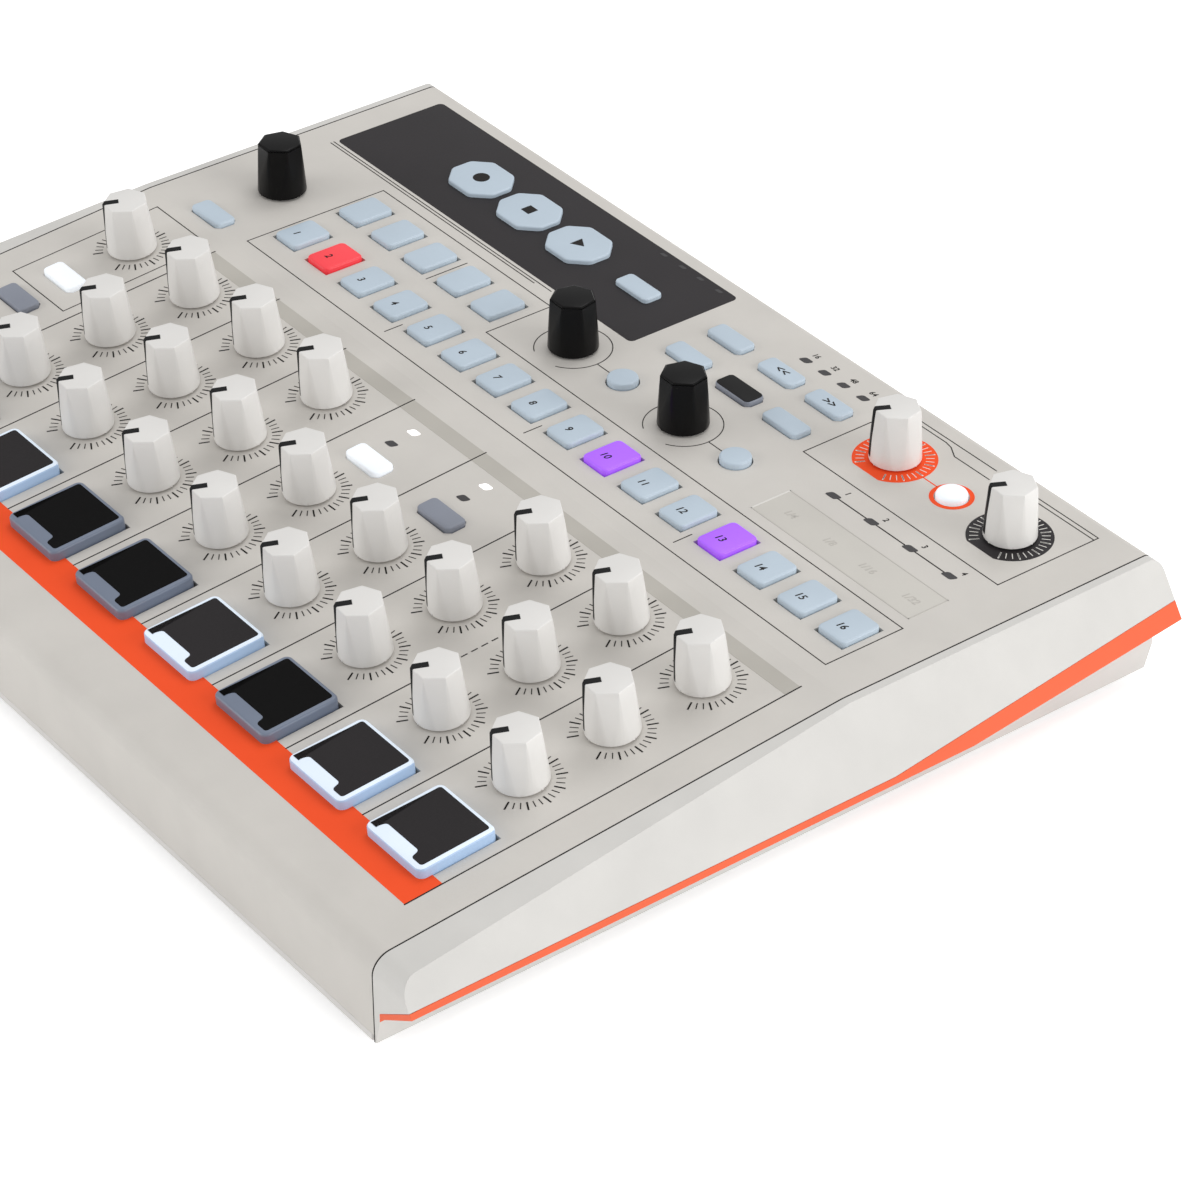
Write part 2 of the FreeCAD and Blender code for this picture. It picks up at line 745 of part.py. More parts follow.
def touch_strip():
    height = d.board_depth - d.strip_recess - 0.02
    place = on_panel(d.strip_x, d.strip_row).multiply(raised(BOARD_TOP + 0.02))
    part = box("touch_strip", "Sizes.strip_width", "Sizes.strip_length", "%g" % height, place)
    return keep(part, "touch_strip")


def display_module():
    height = d.board_depth - d.display_recess - 0.02
    place = on_panel(d.display_x, d.display_row).multiply(raised(BOARD_TOP + 0.02))
    part = box("display_module", "Sizes.display_width", "Sizes.display_length", "%g" % height, place)
    return keep(part, "display_module")


def facing_back(x, y, z):
    """Placement whose own Z axis points out of the back."""
    return FreeCAD.Placement(FreeCAD.Vector(x, y, z), FreeCAD.Rotation(FreeCAD.Vector(1, 0, 0), -90))


def rear_sockets():
    """Sockets in the back wall: a nose through the wall, a block behind it and a bore."""
    pieces = []
    inside = REAR_Y - d.wall - d.seam_gap
    for index, (x, kind) in enumerate(JACKS):
        name = "%s_socket_%d" % (kind, index + 1)
        nose = "Sizes.%s_nose_radius" % kind
        depth = getattr(d, kind + "_depth")
        side = 2 * getattr(d, kind + "_nose_radius")
        block = box(name + "_block", "2 * " + nose, "2 * " + nose,
                    "Sizes.%s_depth - Sizes.wall - Sizes.seam_gap + 1.5" % kind,
                    facing_back(x, REAR_Y - depth - 1.5, d.socket_z))
        tube = cylinder(name + "_nose", nose, "Sizes.wall + Sizes.seam_gap + 1",
                        facing_back(x, inside - 1, d.socket_z))
        joined = doc.addObject("Part::Fuse", name + "_body")
        joined.Base = block
        joined.Tool = tube
        bore = cylinder(name + "_bore", "Sizes.%s_radius" % kind, "Sizes.%s_depth + 5" % kind,
                        facing_back(x, REAR_Y - depth, d.socket_z))
        pieces.append(cut(name, joined, bore))
    shell = box("usb_shell", "Sizes.usb_width + 2 * Sizes.usb_wall", "Sizes.usb_height + 2 * Sizes.usb_wall",
                "Sizes.usb_depth + 1.5", facing_back(USB_X, REAR_Y - d.usb_depth - 1.5, d.socket_z))
    hollow = box("usb_hollow", "Sizes.usb_width", "Sizes.usb_height", "Sizes.usb_depth + 5",
                 facing_back(USB_X, REAR_Y - d.usb_depth, d.socket_z))
    pieces.append(cut("usb_socket", shell, hollow))
    return compound("rear_sockets", pieces)


def power_switch():
    """Push switch beside the power socket."""
    body = new_body("power_switch")
    cap = new_sketch(body, "switch_cap", "XZ_Plane", from_y(REAR_Y - 8))
    draw_block(cap, SWITCH_X, d.socket_z, d.switch_width, d.switch_height, 0.8)
    pad(body, cap, "8 + Sizes.switch_travel + 1", reverse=True)
    rim = new_sketch(body, "switch_rim", "XZ_Plane", from_y(REAR_Y - 8))
    draw_block(rim, SWITCH_X, d.socket_z, d.switch_width + 2, d.switch_height + 2, 0.8)
    pad(body, rim, "8 - Sizes.wall - Sizes.key_gap", reverse=True)
    return body


def rubber_feet():
    pieces = []
    for index, (x, y) in enumerate(foot_places()):
        pieces.append(cylinder("foot_%d" % (index + 1), "Sizes.foot_radius",
                               "Sizes.foot_height + Sizes.foot_recess - 0.02",
                               FreeCAD.Placement(FreeCAD.Vector(x, y, 0), FreeCAD.Rotation())))
    return compound("rubber_feet", pieces)


def case_screws():
    pieces = []
    for index, (x, y) in enumerate(screw_places()):
        place = FreeCAD.Placement(FreeCAD.Vector(x, y, d.foot_height + 0.1), FreeCAD.Rotation())
        head = cylinder("screw_head_%d" % (index + 1), "Sizes.screw_head_radius",
                        "Sizes.screw_head_height", place)
        stem = cylinder("screw_stem_%d" % (index + 1), "Sizes.screw_radius", "Sizes.screw_length", place)
        whole = doc.addObject("Part::Fuse", "screw_%d" % (index + 1))
        whole.Base = head
        whole.Tool = stem
        pieces.append(whole)
    return compound("case_screws", pieces)


def build():
    top_shell()
    bottom_shell()
    cheek = right_cheek()
    keep(mirrored(cheek, "left_side_cheek"), "left_side_cheek")
    trim = right_trim()
    compound("side_trim_strips", [trim, mirrored(trim, "left_trim")])
    for label, (x, along) in KNOBS.items():
        knob(label, x, along)
    for label, (x, along) in ENCODERS.items():
        knob(label, x, along)
    pot_housings()
    circuit_boards()
    touch_strip()
    display_module()
    rear_sockets()
    power_switch()
    rubber_feet()
    case_screws()
    pad_form = key_form("pad_form", square_outline(d.pad_side, d.pad_side, 0), "Sizes.pad_height")
    step_form = key_form("step_form", square_outline(d.key_width, d.key_length, 0), "Sizes.key_height")
    small_form = key_form("small_form", square_outline(d.small_key_width, d.small_key_length,
                                                       d.small_key_corner), "Sizes.key_height")
    round_form = key_form("round_form", round_outline(d.round_key_radius), "Sizes.round_key_height")
    transport_form = key_form("transport_form", square_outline(
        d.transport_width, d.transport_length, d.transport_corner), "Sizes.key_height")
    doc.recompute()
    for name, place in zip(PADS, PAD_PLACES):
        key_group(name + "_pad", pad_form, [place])
    key_group("step_keys_1_to_8", step_form, STEP_PLACES[:8])
    key_group("step_keys_9_to_16", step_form, STEP_PLACES[8:])
    key_group("mode_keys", step_form, MODE_PLACES)
    key_group("edit_keys", small_form, EDIT_PLACES)
    key_group("left_edge_keys", small_form, LEFT_PLACES)
    key_group("type_keys", small_form, TYPE_PLACES)
    key_group("sync_and_tap_keys", small_form, SYNC_PLACES)
    key_group("round_keys", round_form, ROUND_PLACES)
    for label, place in TRANSPORT.items():
        key_group(label, transport_form, [place])
    doc.recompute()


def write_parts():
    """Check every object, then write one file for each sub-part."""
    for thing in doc.Objects:
        if "Invalid" in thing.State or "Error" in thing.State:
            raise RuntimeError("%s: %s" % (thing.Label, thing.State))
    for part in PARTS:
        if part.Shape.isNull() or not part.Shape.isValid():
            raise RuntimeError("%s has no valid shape" % part.Label)
        part.Shape.exportStep("parts/%s.step" % part.Label)
    print("sub-parts written:", len(PARTS))


build()
write_parts()
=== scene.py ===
import math

import bmesh
import bpy
from bpy.props import FloatProperty, FloatVectorProperty, IntProperty, PointerProperty
from mathutils import Matrix, Vector


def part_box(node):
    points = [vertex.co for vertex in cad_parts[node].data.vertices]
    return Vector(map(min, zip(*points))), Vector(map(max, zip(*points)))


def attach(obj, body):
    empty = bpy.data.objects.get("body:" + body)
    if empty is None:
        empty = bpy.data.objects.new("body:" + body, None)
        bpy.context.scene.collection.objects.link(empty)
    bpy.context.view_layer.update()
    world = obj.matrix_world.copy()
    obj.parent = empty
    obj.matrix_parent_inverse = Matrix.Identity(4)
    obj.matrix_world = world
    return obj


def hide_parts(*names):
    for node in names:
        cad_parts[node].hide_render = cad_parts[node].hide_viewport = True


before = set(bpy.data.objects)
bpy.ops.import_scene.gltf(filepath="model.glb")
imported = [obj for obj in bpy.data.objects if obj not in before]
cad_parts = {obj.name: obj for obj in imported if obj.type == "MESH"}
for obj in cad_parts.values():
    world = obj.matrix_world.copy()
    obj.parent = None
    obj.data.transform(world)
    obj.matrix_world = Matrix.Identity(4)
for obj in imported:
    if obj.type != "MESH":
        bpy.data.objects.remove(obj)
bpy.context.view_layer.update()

bl_info = {
    "name": "Drum machine",
    "version": (1, 0, 0),
    "blender": (4, 5, 0),
    "location": "3D View > Sidebar > Drum machine",
    "description": "Knobs, pads, keys, printing and finishes of a desktop drum machine on its CAD frame",
    "category": "Add Mesh",
}

MM = 0.001
NEAR = 0.01 * MM


# Sizes and colours that a user would change.

def length(title, note, millimetres):
    return FloatProperty(name=title, description=note, default=millimetres * MM, unit="LENGTH", precision=5)


def turn(title, note, degrees):
    return FloatProperty(name=title, description=note, default=math.radians(degrees), subtype="ANGLE")


def colour(title, note, red, green, blue):
    return FloatVectorProperty(name=title, description=note, subtype="COLOR_GAMMA", size=3, min=0, max=1,
                               default=(red / 255, green / 255, blue / 255))


class PanelSizes(bpy.types.PropertyGroup):
    tilt: turn("Tilt", "Slope of the front panel", 4.6)
    front_y: length("Front", "Where the front panel starts, at the pads' line", -87.78)
    front_z: length("Front height", "Height of the panel there", 28.2)
    bend: length("Bend", "Distance along the panel to its bend", 103.8)
    column_pitch: length("Column pitch", "Distance from one instrument column to the next", 30)
    first_column: length("First column", "Centre line of the first instrument's knobs", -91.85)
    column_line: length("Column line", "First line between the columns", -105.7)
    level_row: length("Level row", "Row of the level knobs", 33.1)
    pitch_row: length("Second row", "Row of the pitch and tone knobs", 58.5)
    decay_row: length("Third row", "Row of the decay knobs", 84.2)
    step_pitch: length("Step pitch", "Distance from one step key to the next", 14.8)
    first_step: length("First step", "Centre of the first step key", -97.5)
    step_row: length("Step row", "Row of the step keys", 121.7)
    mode_row: length("Mode row", "Row of the mode keys", 141.6)


class KnobSizes(bpy.types.PropertyGroup):
    base_radius: length("Base radius", "Radius at the foot of a knob", 6.55)
    top_radius: length("Top radius", "Radius at the top of a knob, over the corners", 5.9)
    top_flats: length("Flats at the top", "Distance from the axis to a flat at the top", 5.3)
    lift: length("Lift", "Gap between knob and panel", 0.5)
    height: length("Height", "Height of a knob", 14.5)
    flats: IntProperty(name="Flats", description="Number of flats round a knob", default=7, min=3)
    rest_turn: turn("Pointer at rest", "Direction of the pointer at its lowest setting", -118)
    pointer_width: length("Pointer width", "Width of the pointer line", 1.8)
    pointer_start: length("Pointer start", "Where the pointer line starts on the top", 1.7)
    tick_start: length("Tick start", "Inner end of the ticks round a knob", 7.9)
    tick_end: length("Tick end", "Outer end of the short ticks", 9.7)
    major_end: length("Long tick end", "Outer end of the long ticks", 10.2)
    tick_count: IntProperty(name="Ticks", description="Ticks round a knob", default=31, min=2)
    travel: turn("Travel", "Angle from the first to the last tick", 300)


class PadSizes(bpy.types.PropertyGroup):
    side: length("Side", "Side of a pad", 21)
    height: length("Height", "Height over the panel", 2.8)
    corner: length("Corner", "Corner radius of a pad", 1.8)
    face: length("Face", "Side of the black face", 18.5)
    notch: length("Notch", "Depth of the notch in the front of the face", 2.5)
    row: length("Row", "Row of the pads", 7.3)
    offset: length("Offset", "Pads stand this far right of the knobs", 1.85)


class KeySizes(bpy.types.PropertyGroup):
    width: length("Width", "Width of a step key", 9.4)
    length: length("Length", "Length of a step key", 11.8)
    small_width: length("Small width", "Width of a small key", 13.2)
    small_length: length("Small length", "Length of a small key", 6.0)
    height: length("Height", "Height over the panel", 1.3)
    corner: length("Corner", "Corner radius", 1.5)
    brim: length("Brim", "Rounding of the upper edge", 0.5)


class PrintSizes(bpy.types.PropertyGroup):
    ink: length("Ink", "Height of the printing over the panel", 0.05)
    line: length("Line", "Width of the lines", 0.33)
    fine: length("Fine line", "Width of the fine lines", 0.26)
    digit: length("Digit", "Height of the digits on the keys", 2.9)
    small_digit: length("Small digit", "Height of the small digits", 2.2)


class Colours(bpy.types.PropertyGroup):
    panel: colour("Panel", "Painted upper shell", 212, 208, 202)
    cheek: colour("Cheek", "Side cheeks", 215, 213, 209)
    base: colour("Base", "Lower shell", 222, 219, 216)
    orange: colour("Orange", "Trim, band and dial", 254, 88, 44)
    trim: colour("Trim", "Strips in the cheeks", 240, 95, 45)
    knob: colour("Knob", "White knobs", 232, 230, 227)
    ink: colour("Ink", "Dark printing", 44, 42, 41)
    band: colour("Label band", "Bands at the head of each column", 190, 186, 178)
    charcoal: colour("Charcoal", "Transport area", 48, 45, 47)
    key: colour("Key", "Translucent keys", 192, 207, 220)
    dim_key: colour("Dim key", "Keys that aren't lit", 139, 144, 157)
    pad_lit: colour("Lit pad", "Sides of a lit pad", 168, 194, 226)
    pad_dim: colour("Dim pad", "Frame of a pad that isn't lit", 118, 128, 147)
    pad_top: colour("Lit pad top", "Top of a lit pad's frame", 226, 238, 252)
    purple: colour("Purple", "Keys lit purple", 172, 96, 255)
    red: colour("Red", "Key lit red", 242, 60, 70)


class DrumMachine(bpy.types.PropertyGroup):
    panel: PointerProperty(type=PanelSizes)
    knob: PointerProperty(type=KnobSizes)
    pad: PointerProperty(type=PadSizes)
    key: PointerProperty(type=KeySizes)
    printing: PointerProperty(type=PrintSizes)
    colours: PointerProperty(type=Colours)


def sizes():
    return bpy.context.scene.drum_machine


# Places on the panel. A place is given across (x), up along the panel (s) and out of it (h).

def panel_matrix(s):
    """Turns and moves flat work onto the sloping or the level part of the panel."""
    p = sizes().panel
    if s < p.bend:
        return Matrix.Translation((0, p.front_y, p.front_z)) @ Matrix.Rotation(p.tilt, 4, "X")
    level_y = p.front_y + p.bend * math.cos(p.tilt) - p.bend
    return Matrix.Translation((0, level_y, p.front_z + p.bend * math.sin(p.tilt)))


def at(x, s, out=0.0):
    """The turn and place of a piece that stands on the panel."""
    return panel_matrix(s) @ Matrix.Translation((x, s, out))


def column(number):
    p = sizes().panel
    return p.first_column + (number - 1) * p.column_pitch


def column_line(number):
    p = sizes().panel
    return p.column_line + number * p.column_pitch


def step(number):
    p = sizes().panel
    return p.first_step + (number - 1) * p.step_pitch


def knob_places():
    """Node name to place on the panel, for the white knobs."""
    p = sizes().panel
    level = ["kick", "snare_one", "snare_two", "tom", "cymbal", "closed_hat", "open_hat", "fm"]
    second = ["kick_pitch", "snare_one_tone", "snare_two_tone", "tom_pitch", "cymbal_decay", "hats_tone",
              "open_hat_decay", "carrier_pitch"]
    third = {0: "metronome_volume", 1: "kick_decay", 2: "snare_one_decay", 3: "snare_two_decay",
             6: "modulator_pitch", 7: "fm_amount", 8: "fm_decay"}
    places = {}
    for index, name in enumerate(level):
        places[name + "_level_knob"] = (column(index + 1), p.level_row)
    for index, name in enumerate(second):
        places[name + "_knob"] = (column(index + 1), p.pitch_row)
    for number, name in third.items():
        places[name + "_knob"] = (column(number), p.decay_row)
    return places


def millimetres(points):
    return [(x * MM, s * MM) for x, s in points]


# Places of the single pieces, read from the photo or, left of its edge, guessed.
OUTPUT_ROW = 176.4 * MM
DISTORTION_X = 76.9 * MM
MASTER_X = 118.5 * MM
ENCODER_ROW = 145.1 * MM
SWING_X = -10.9 * MM
RANDOM_X = 33.8 * MM
ROUND_KEY_AWAY = 20.4 * MM
TEMPO_PLACE = (-121 * MM, 131 * MM)
TRANSPORT_ROW = 176 * MM
PLAY_X = -49.4 * MM
TRANSPORT_PITCH = 21.6 * MM
TRANSPORT_AREA = (-69.25 * MM, 175.45 * MM)
TRANSPORT_AREA_WIDTH = 130.5 * MM
TRANSPORT_AREA_LENGTH = 34.9 * MM
TRANSPORT_AREA_CORNER = 1.5 * MM
EDIT_COLUMNS = (10.9 * MM, 31.0 * MM, 49.4 * MM)
EDIT_ROWS = (165.0 * MM, 178.5 * MM)
SAVE_KEY = (EDIT_COLUMNS[1], EDIT_ROWS[0])
TYPE_ROW = 76.2 * MM
METRONOME_ROW = 63.5 * MM
LEFT_PITCH = 14.3 * MM
SYNC_PLACE = (-22.7 * MM, 175 * MM)
TAP_PLACE = (-120.9 * MM, 109 * MM)
STRIP_PLACE = (100.9 * MM, 141.4 * MM)
STRIP_WIDTH = 57.7 * MM
STRIP_LENGTH = 12.5 * MM
STRIP_ABOVE = 0.03 * MM

# Lamp windows: places across, then their row, in millimetres.
LENGTH_LAMPS = (29.5, 36.8, 44.1, 51.6)
LENGTH_LAMP_ROW = 187.7
LENGTH_NUMBER_ROW = 191.0
STRIP_LAMPS = (80.2, 94.2, 108.2, 122.2)
STRIP_LAMP_ROW = 154.2
STRIP_NUMBER_ROW = 157.4
TYPE_LAMPS = (-4.4, 25.5)
DARK_TYPE_ROW = 84.5
LIT_TYPE_ROW = 91.2
CLOCK_LAMPS = (-32.7, -24.9, -17.5, -9.8)
CLOCK_LAMP_ROW = 191.2


# Modelling helpers.

def deselect():
    if bpy.context.mode != "OBJECT":
        bpy.ops.object.mode_set(mode="OBJECT")
    bpy.ops.object.select_all(action="DESELECT")


def choose(piece):
    """Make one object the selected and active one."""
    deselect()
    piece.select_set(True)
    bpy.context.view_layer.objects.active = piece
    return piece


def edit(piece):
    choose(piece)
    bpy.ops.object.mode_set(mode="EDIT")


def leave():
    bpy.ops.object.mode_set(mode="OBJECT")


def upright(least):
    """Test for edges that rise by more than this."""
    return lambda edge: abs(edge.verts[0].co.z - edge.verts[1].co.z) > least


def over(height):
    """Test for edges and faces that lie wholly over this height."""
    return lambda item: all(vertex.co.z > height for vertex in item.verts)


def select_edges(test):
    """In edit mode, select only the edges that pass the test."""
    bpy.ops.mesh.select_mode(type="EDGE")
    bpy.ops.mesh.select_all(action="DESELECT")
    work = bmesh.from_edit_mesh(bpy.context.object.data)
    for edge in work.edges:
        edge.select_set(bool(test(edge)))
    bmesh.update_edit_mesh(bpy.context.object.data)


def select_faces(test):
    """In edit mode, select only the faces that pass the test."""
    bpy.ops.mesh.select_mode(type="FACE")
    bpy.ops.mesh.select_all(action="DESELECT")
    work = bmesh.from_edit_mesh(bpy.context.object.data)
    work.normal_update()
    for face in work.faces:
        face.select_set(bool(test(face)))
    bmesh.update_edit_mesh(bpy.context.object.data)


def fit_selected(matrix):
    """In edit mode, move, turn and size the selected part."""
    work = bmesh.from_edit_mesh(bpy.context.object.data)
    bmesh.ops.transform(work, matrix=matrix, verts=[v for v in work.verts if v.select])
    bmesh.update_edit_mesh(bpy.context.object.data)


def smooth(piece, degrees=35):
    choose(piece)
    bpy.ops.object.shade_smooth_by_angle(angle=math.radians(degrees))


def apply_modifiers(piece):
    choose(piece)
    for modifier in list(piece.modifiers):
        bpy.ops.object.modifier_apply(modifier=modifier.name)


def placed_copy(source, name, matrix):
    """A copy with its own mesh, and its place in that mesh."""
    other = source.copy()
    other.data = source.data.copy()
    other.name = name
    other.data.name = name
    bpy.context.scene.collection.objects.link(other)
    other.data.transform(matrix)
    return other


def remove(piece):
    bpy.data.objects.remove(piece, do_unlink=True)


def paint(piece, *materials):
    piece.data.materials.clear()
    for material in materials:
        piece.data.materials.append(material)


def rounded_block(name, width, length, low, high, corner, brim):
    """Block about the origin with round upright corners and a rounded upper edge."""
    deselect()
    bpy.ops.mesh.primitive_cube_add(size=1)
    piece = bpy.context.object
    piece.name = name
    bpy.ops.object.mode_set(mode="EDIT")
    fit_selected(Matrix.Translation((0, 0, (low + high) / 2))
                 @ Matrix.Diagonal((width, length, high - low, 1)))
    select_edges(upright((high - low) / 2))
    bpy.ops.mesh.bevel(offset=corner, segments=5, affect="EDGES")
    select_edges(over(high - (high - low) * 0.01))
    bpy.ops.mesh.bevel(offset=brim, segments=4, affect="EDGES")
    leave()
    smooth(piece)
    return piece


class Printing:
    """Flat work drawn in edit mode on one mesh, then thickened and laid on the panel."""

    def __init__(self, name):
        deselect()
        bpy.ops.mesh.primitive_plane_add(size=MM, enter_editmode=True)
        bpy.ops.mesh.delete(type="VERT")
        bpy.ops.mesh.select_mode(type="VERT")
        self.piece = bpy.context.object
        self.piece.name = name

    def line(self, start, end, width):
        start = Vector(start)
        end = Vector(end)
        run = end - start
        middle = (start + end) / 2
        bpy.ops.mesh.primitive_plane_add(size=1)
        fit_selected(Matrix.Translation((middle.x, middle.y, 0))
                     @ Matrix.Rotation(math.atan2(run.y, run.x), 4, "Z")
                     @ Matrix.Diagonal((run.length + width, width, 1, 1)))
        return self

    def path(self, points, width):
        for start, end in zip(points, points[1:]):
            self.line(start, end, width)
        return self

    def block(self, left, right, front, back):
        bpy.ops.mesh.primitive_plane_add(size=1)
        fit_selected(Matrix.Translation(((left + right) / 2, (front + back) / 2, 0))
                     @ Matrix.Diagonal((right - left, back - front, 1, 1)))
        return self

    def disc(self, centre, radius, sides=64):
        bpy.ops.mesh.primitive_circle_add(
            vertices=sides, radius=radius, fill_type="NGON", location=(centre[0], centre[1], 0))
        return self

    def ring(self, centre, inner, outer, gap_half=0.0, sides=96):
        """Ring, open towards the front by gap_half on each side."""
        place = Vector((centre[0], centre[1], 0))
        bpy.ops.mesh.primitive_circle_add(vertices=sides, radius=outer, location=place)
        bpy.ops.mesh.extrude_region_move()
        narrow = inner / outer
        fit_selected(Matrix.Translation(place) @ Matrix.Diagonal((narrow, narrow, 1, 1))
                     @ Matrix.Translation(-place))
        if gap_half:
            work = bmesh.from_edit_mesh(self.piece.data)
            for face in work.faces:
                away = face.calc_center_median() - place
                near = inner * 0.98 < away.length < outer * 1.02
                angle = abs(math.atan2(away.x, -away.y))
                face.select_set(near and angle < gap_half)
            bmesh.update_edit_mesh(self.piece.data)
            bpy.ops.mesh.select_mode(type="FACE")
            bpy.ops.mesh.delete(type="FACE")
            bpy.ops.mesh.select_mode(type="VERT")
        return self

    def finish(self, along, material, body="case", height=None, above=0.0):
        """Thicken the work, lay it on the panel and let it ride."""
        ink = height or sizes().printing.ink
        select_faces(lambda f: f.normal.z < 0)
        bpy.ops.mesh.flip_normals()
        leave()
        sheet = self.piece.modifiers.new("Ink", "SOLIDIFY")
        sheet.thickness = ink
        sheet.offset = 1
        apply_modifiers(self.piece)
        self.piece.data.transform(panel_matrix(along) @ Matrix.Translation((0, 0, above)))
        paint(self.piece, material)
        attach(self.piece, body)
        return self.piece


LETTER_SLANT = 0.15
LETTER_WEIGHT = 0.012


def lettering(name, words, along, material, body="case", above=0.0):
    """Flat digits and marks: words is a list of (text, x, s, size)."""
    ink = sizes().printing.ink
    drawn = []
    for text, x, s, size in words:
        deselect()
        bpy.ops.object.text_add(location=(0, 0, 0))
        piece = bpy.context.object
        piece.data.body = text
        piece.data.size = size
        piece.data.shear = LETTER_SLANT
        piece.data.align_x = "CENTER"
        piece.data.align_y = "CENTER"
        piece.data.offset = size * LETTER_WEIGHT
        piece.data.resolution_u = 3
        piece.data.extrude = ink / 2
        bpy.ops.object.convert(target="MESH")
        piece = bpy.context.object
        piece.data.transform(Matrix.Translation((x, s, ink / 2)))
        drawn.append(piece)
    deselect()
    for piece in drawn:
        piece.select_set(True)
    bpy.context.view_layer.objects.active = drawn[0]
    if len(drawn) > 1:
        bpy.ops.object.join()
    joined = bpy.context.object
    joined.name = name
    joined.data.transform(panel_matrix(along) @ Matrix.Translation((0, 0, above)))
    paint(joined, material)
    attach(joined, body)
    return joined


# Finishes.

def linear(shade, factor=1.0):
    """Screen colour to scene-linear, with a full alpha."""
    values = []
    for part in shade:
        value = part / 12.92 if part <= 0.04045 else ((part + 0.055) / 1.055) ** 2.4
        values.append(min(1.0, value * factor))
    return (*values, 1.0)


def add_node(tree, kind, **values):
    """A shader node with its input values."""
    made = tree.nodes.new("ShaderNode" + kind)
    for name, value in values.items():
        made.inputs[name.replace("_", " ")].default_value = value
    return made


def finish_material(name, shade, rough, grain, bump=0.1, drift=0.03, gloss_drift=0.06,
                    glow=0.0, metal=0.0, shine=0.5):
    """Moulded or painted finish: soft colour drift, fine grain in the surface and uneven gloss."""
    material = bpy.data.materials.new(name)
    material.use_nodes = True
    tree = material.node_tree
    links = tree.links
    shader = tree.nodes["Principled BSDF"]
    place = add_node(tree, "TexCoord")
    cloud = add_node(tree, "TexNoise", Scale=60, Detail=4)
    links.new(place.outputs["Object"], cloud.inputs["Vector"])
    tint = add_node(tree, "ValToRGB")
    for end, position, factor in ((0, 0.3, 1 - drift), (1, 0.7, 1 + drift)):
        tint.color_ramp.elements[end].position = position
        tint.color_ramp.elements[end].color = linear(shade, factor)
    links.new(cloud.outputs["Fac"], tint.inputs["Fac"])
    links.new(tint.outputs["Color"], shader.inputs["Base Color"])
    fine = add_node(tree, "TexNoise", Scale=grain, Detail=3)
    links.new(place.outputs["Object"], fine.inputs["Vector"])
    spread = add_node(tree, "MapRange", To_Min=rough - gloss_drift, To_Max=rough + gloss_drift)
    links.new(fine.outputs["Fac"], spread.inputs["Value"])
    links.new(spread.outputs["Result"], shader.inputs["Roughness"])
    relief = add_node(tree, "Bump", Strength=bump, Distance=0.05 * MM)
    links.new(fine.outputs["Fac"], relief.inputs["Height"])
    links.new(relief.outputs["Normal"], shader.inputs["Normal"])
    shader.inputs["Metallic"].default_value = metal
    shader.inputs["Specular IOR Level"].default_value = shine
    if glow:
        links.new(tint.outputs["Color"], shader.inputs["Emission Color"])
        shader.inputs["Emission Strength"].default_value = glow
    return material


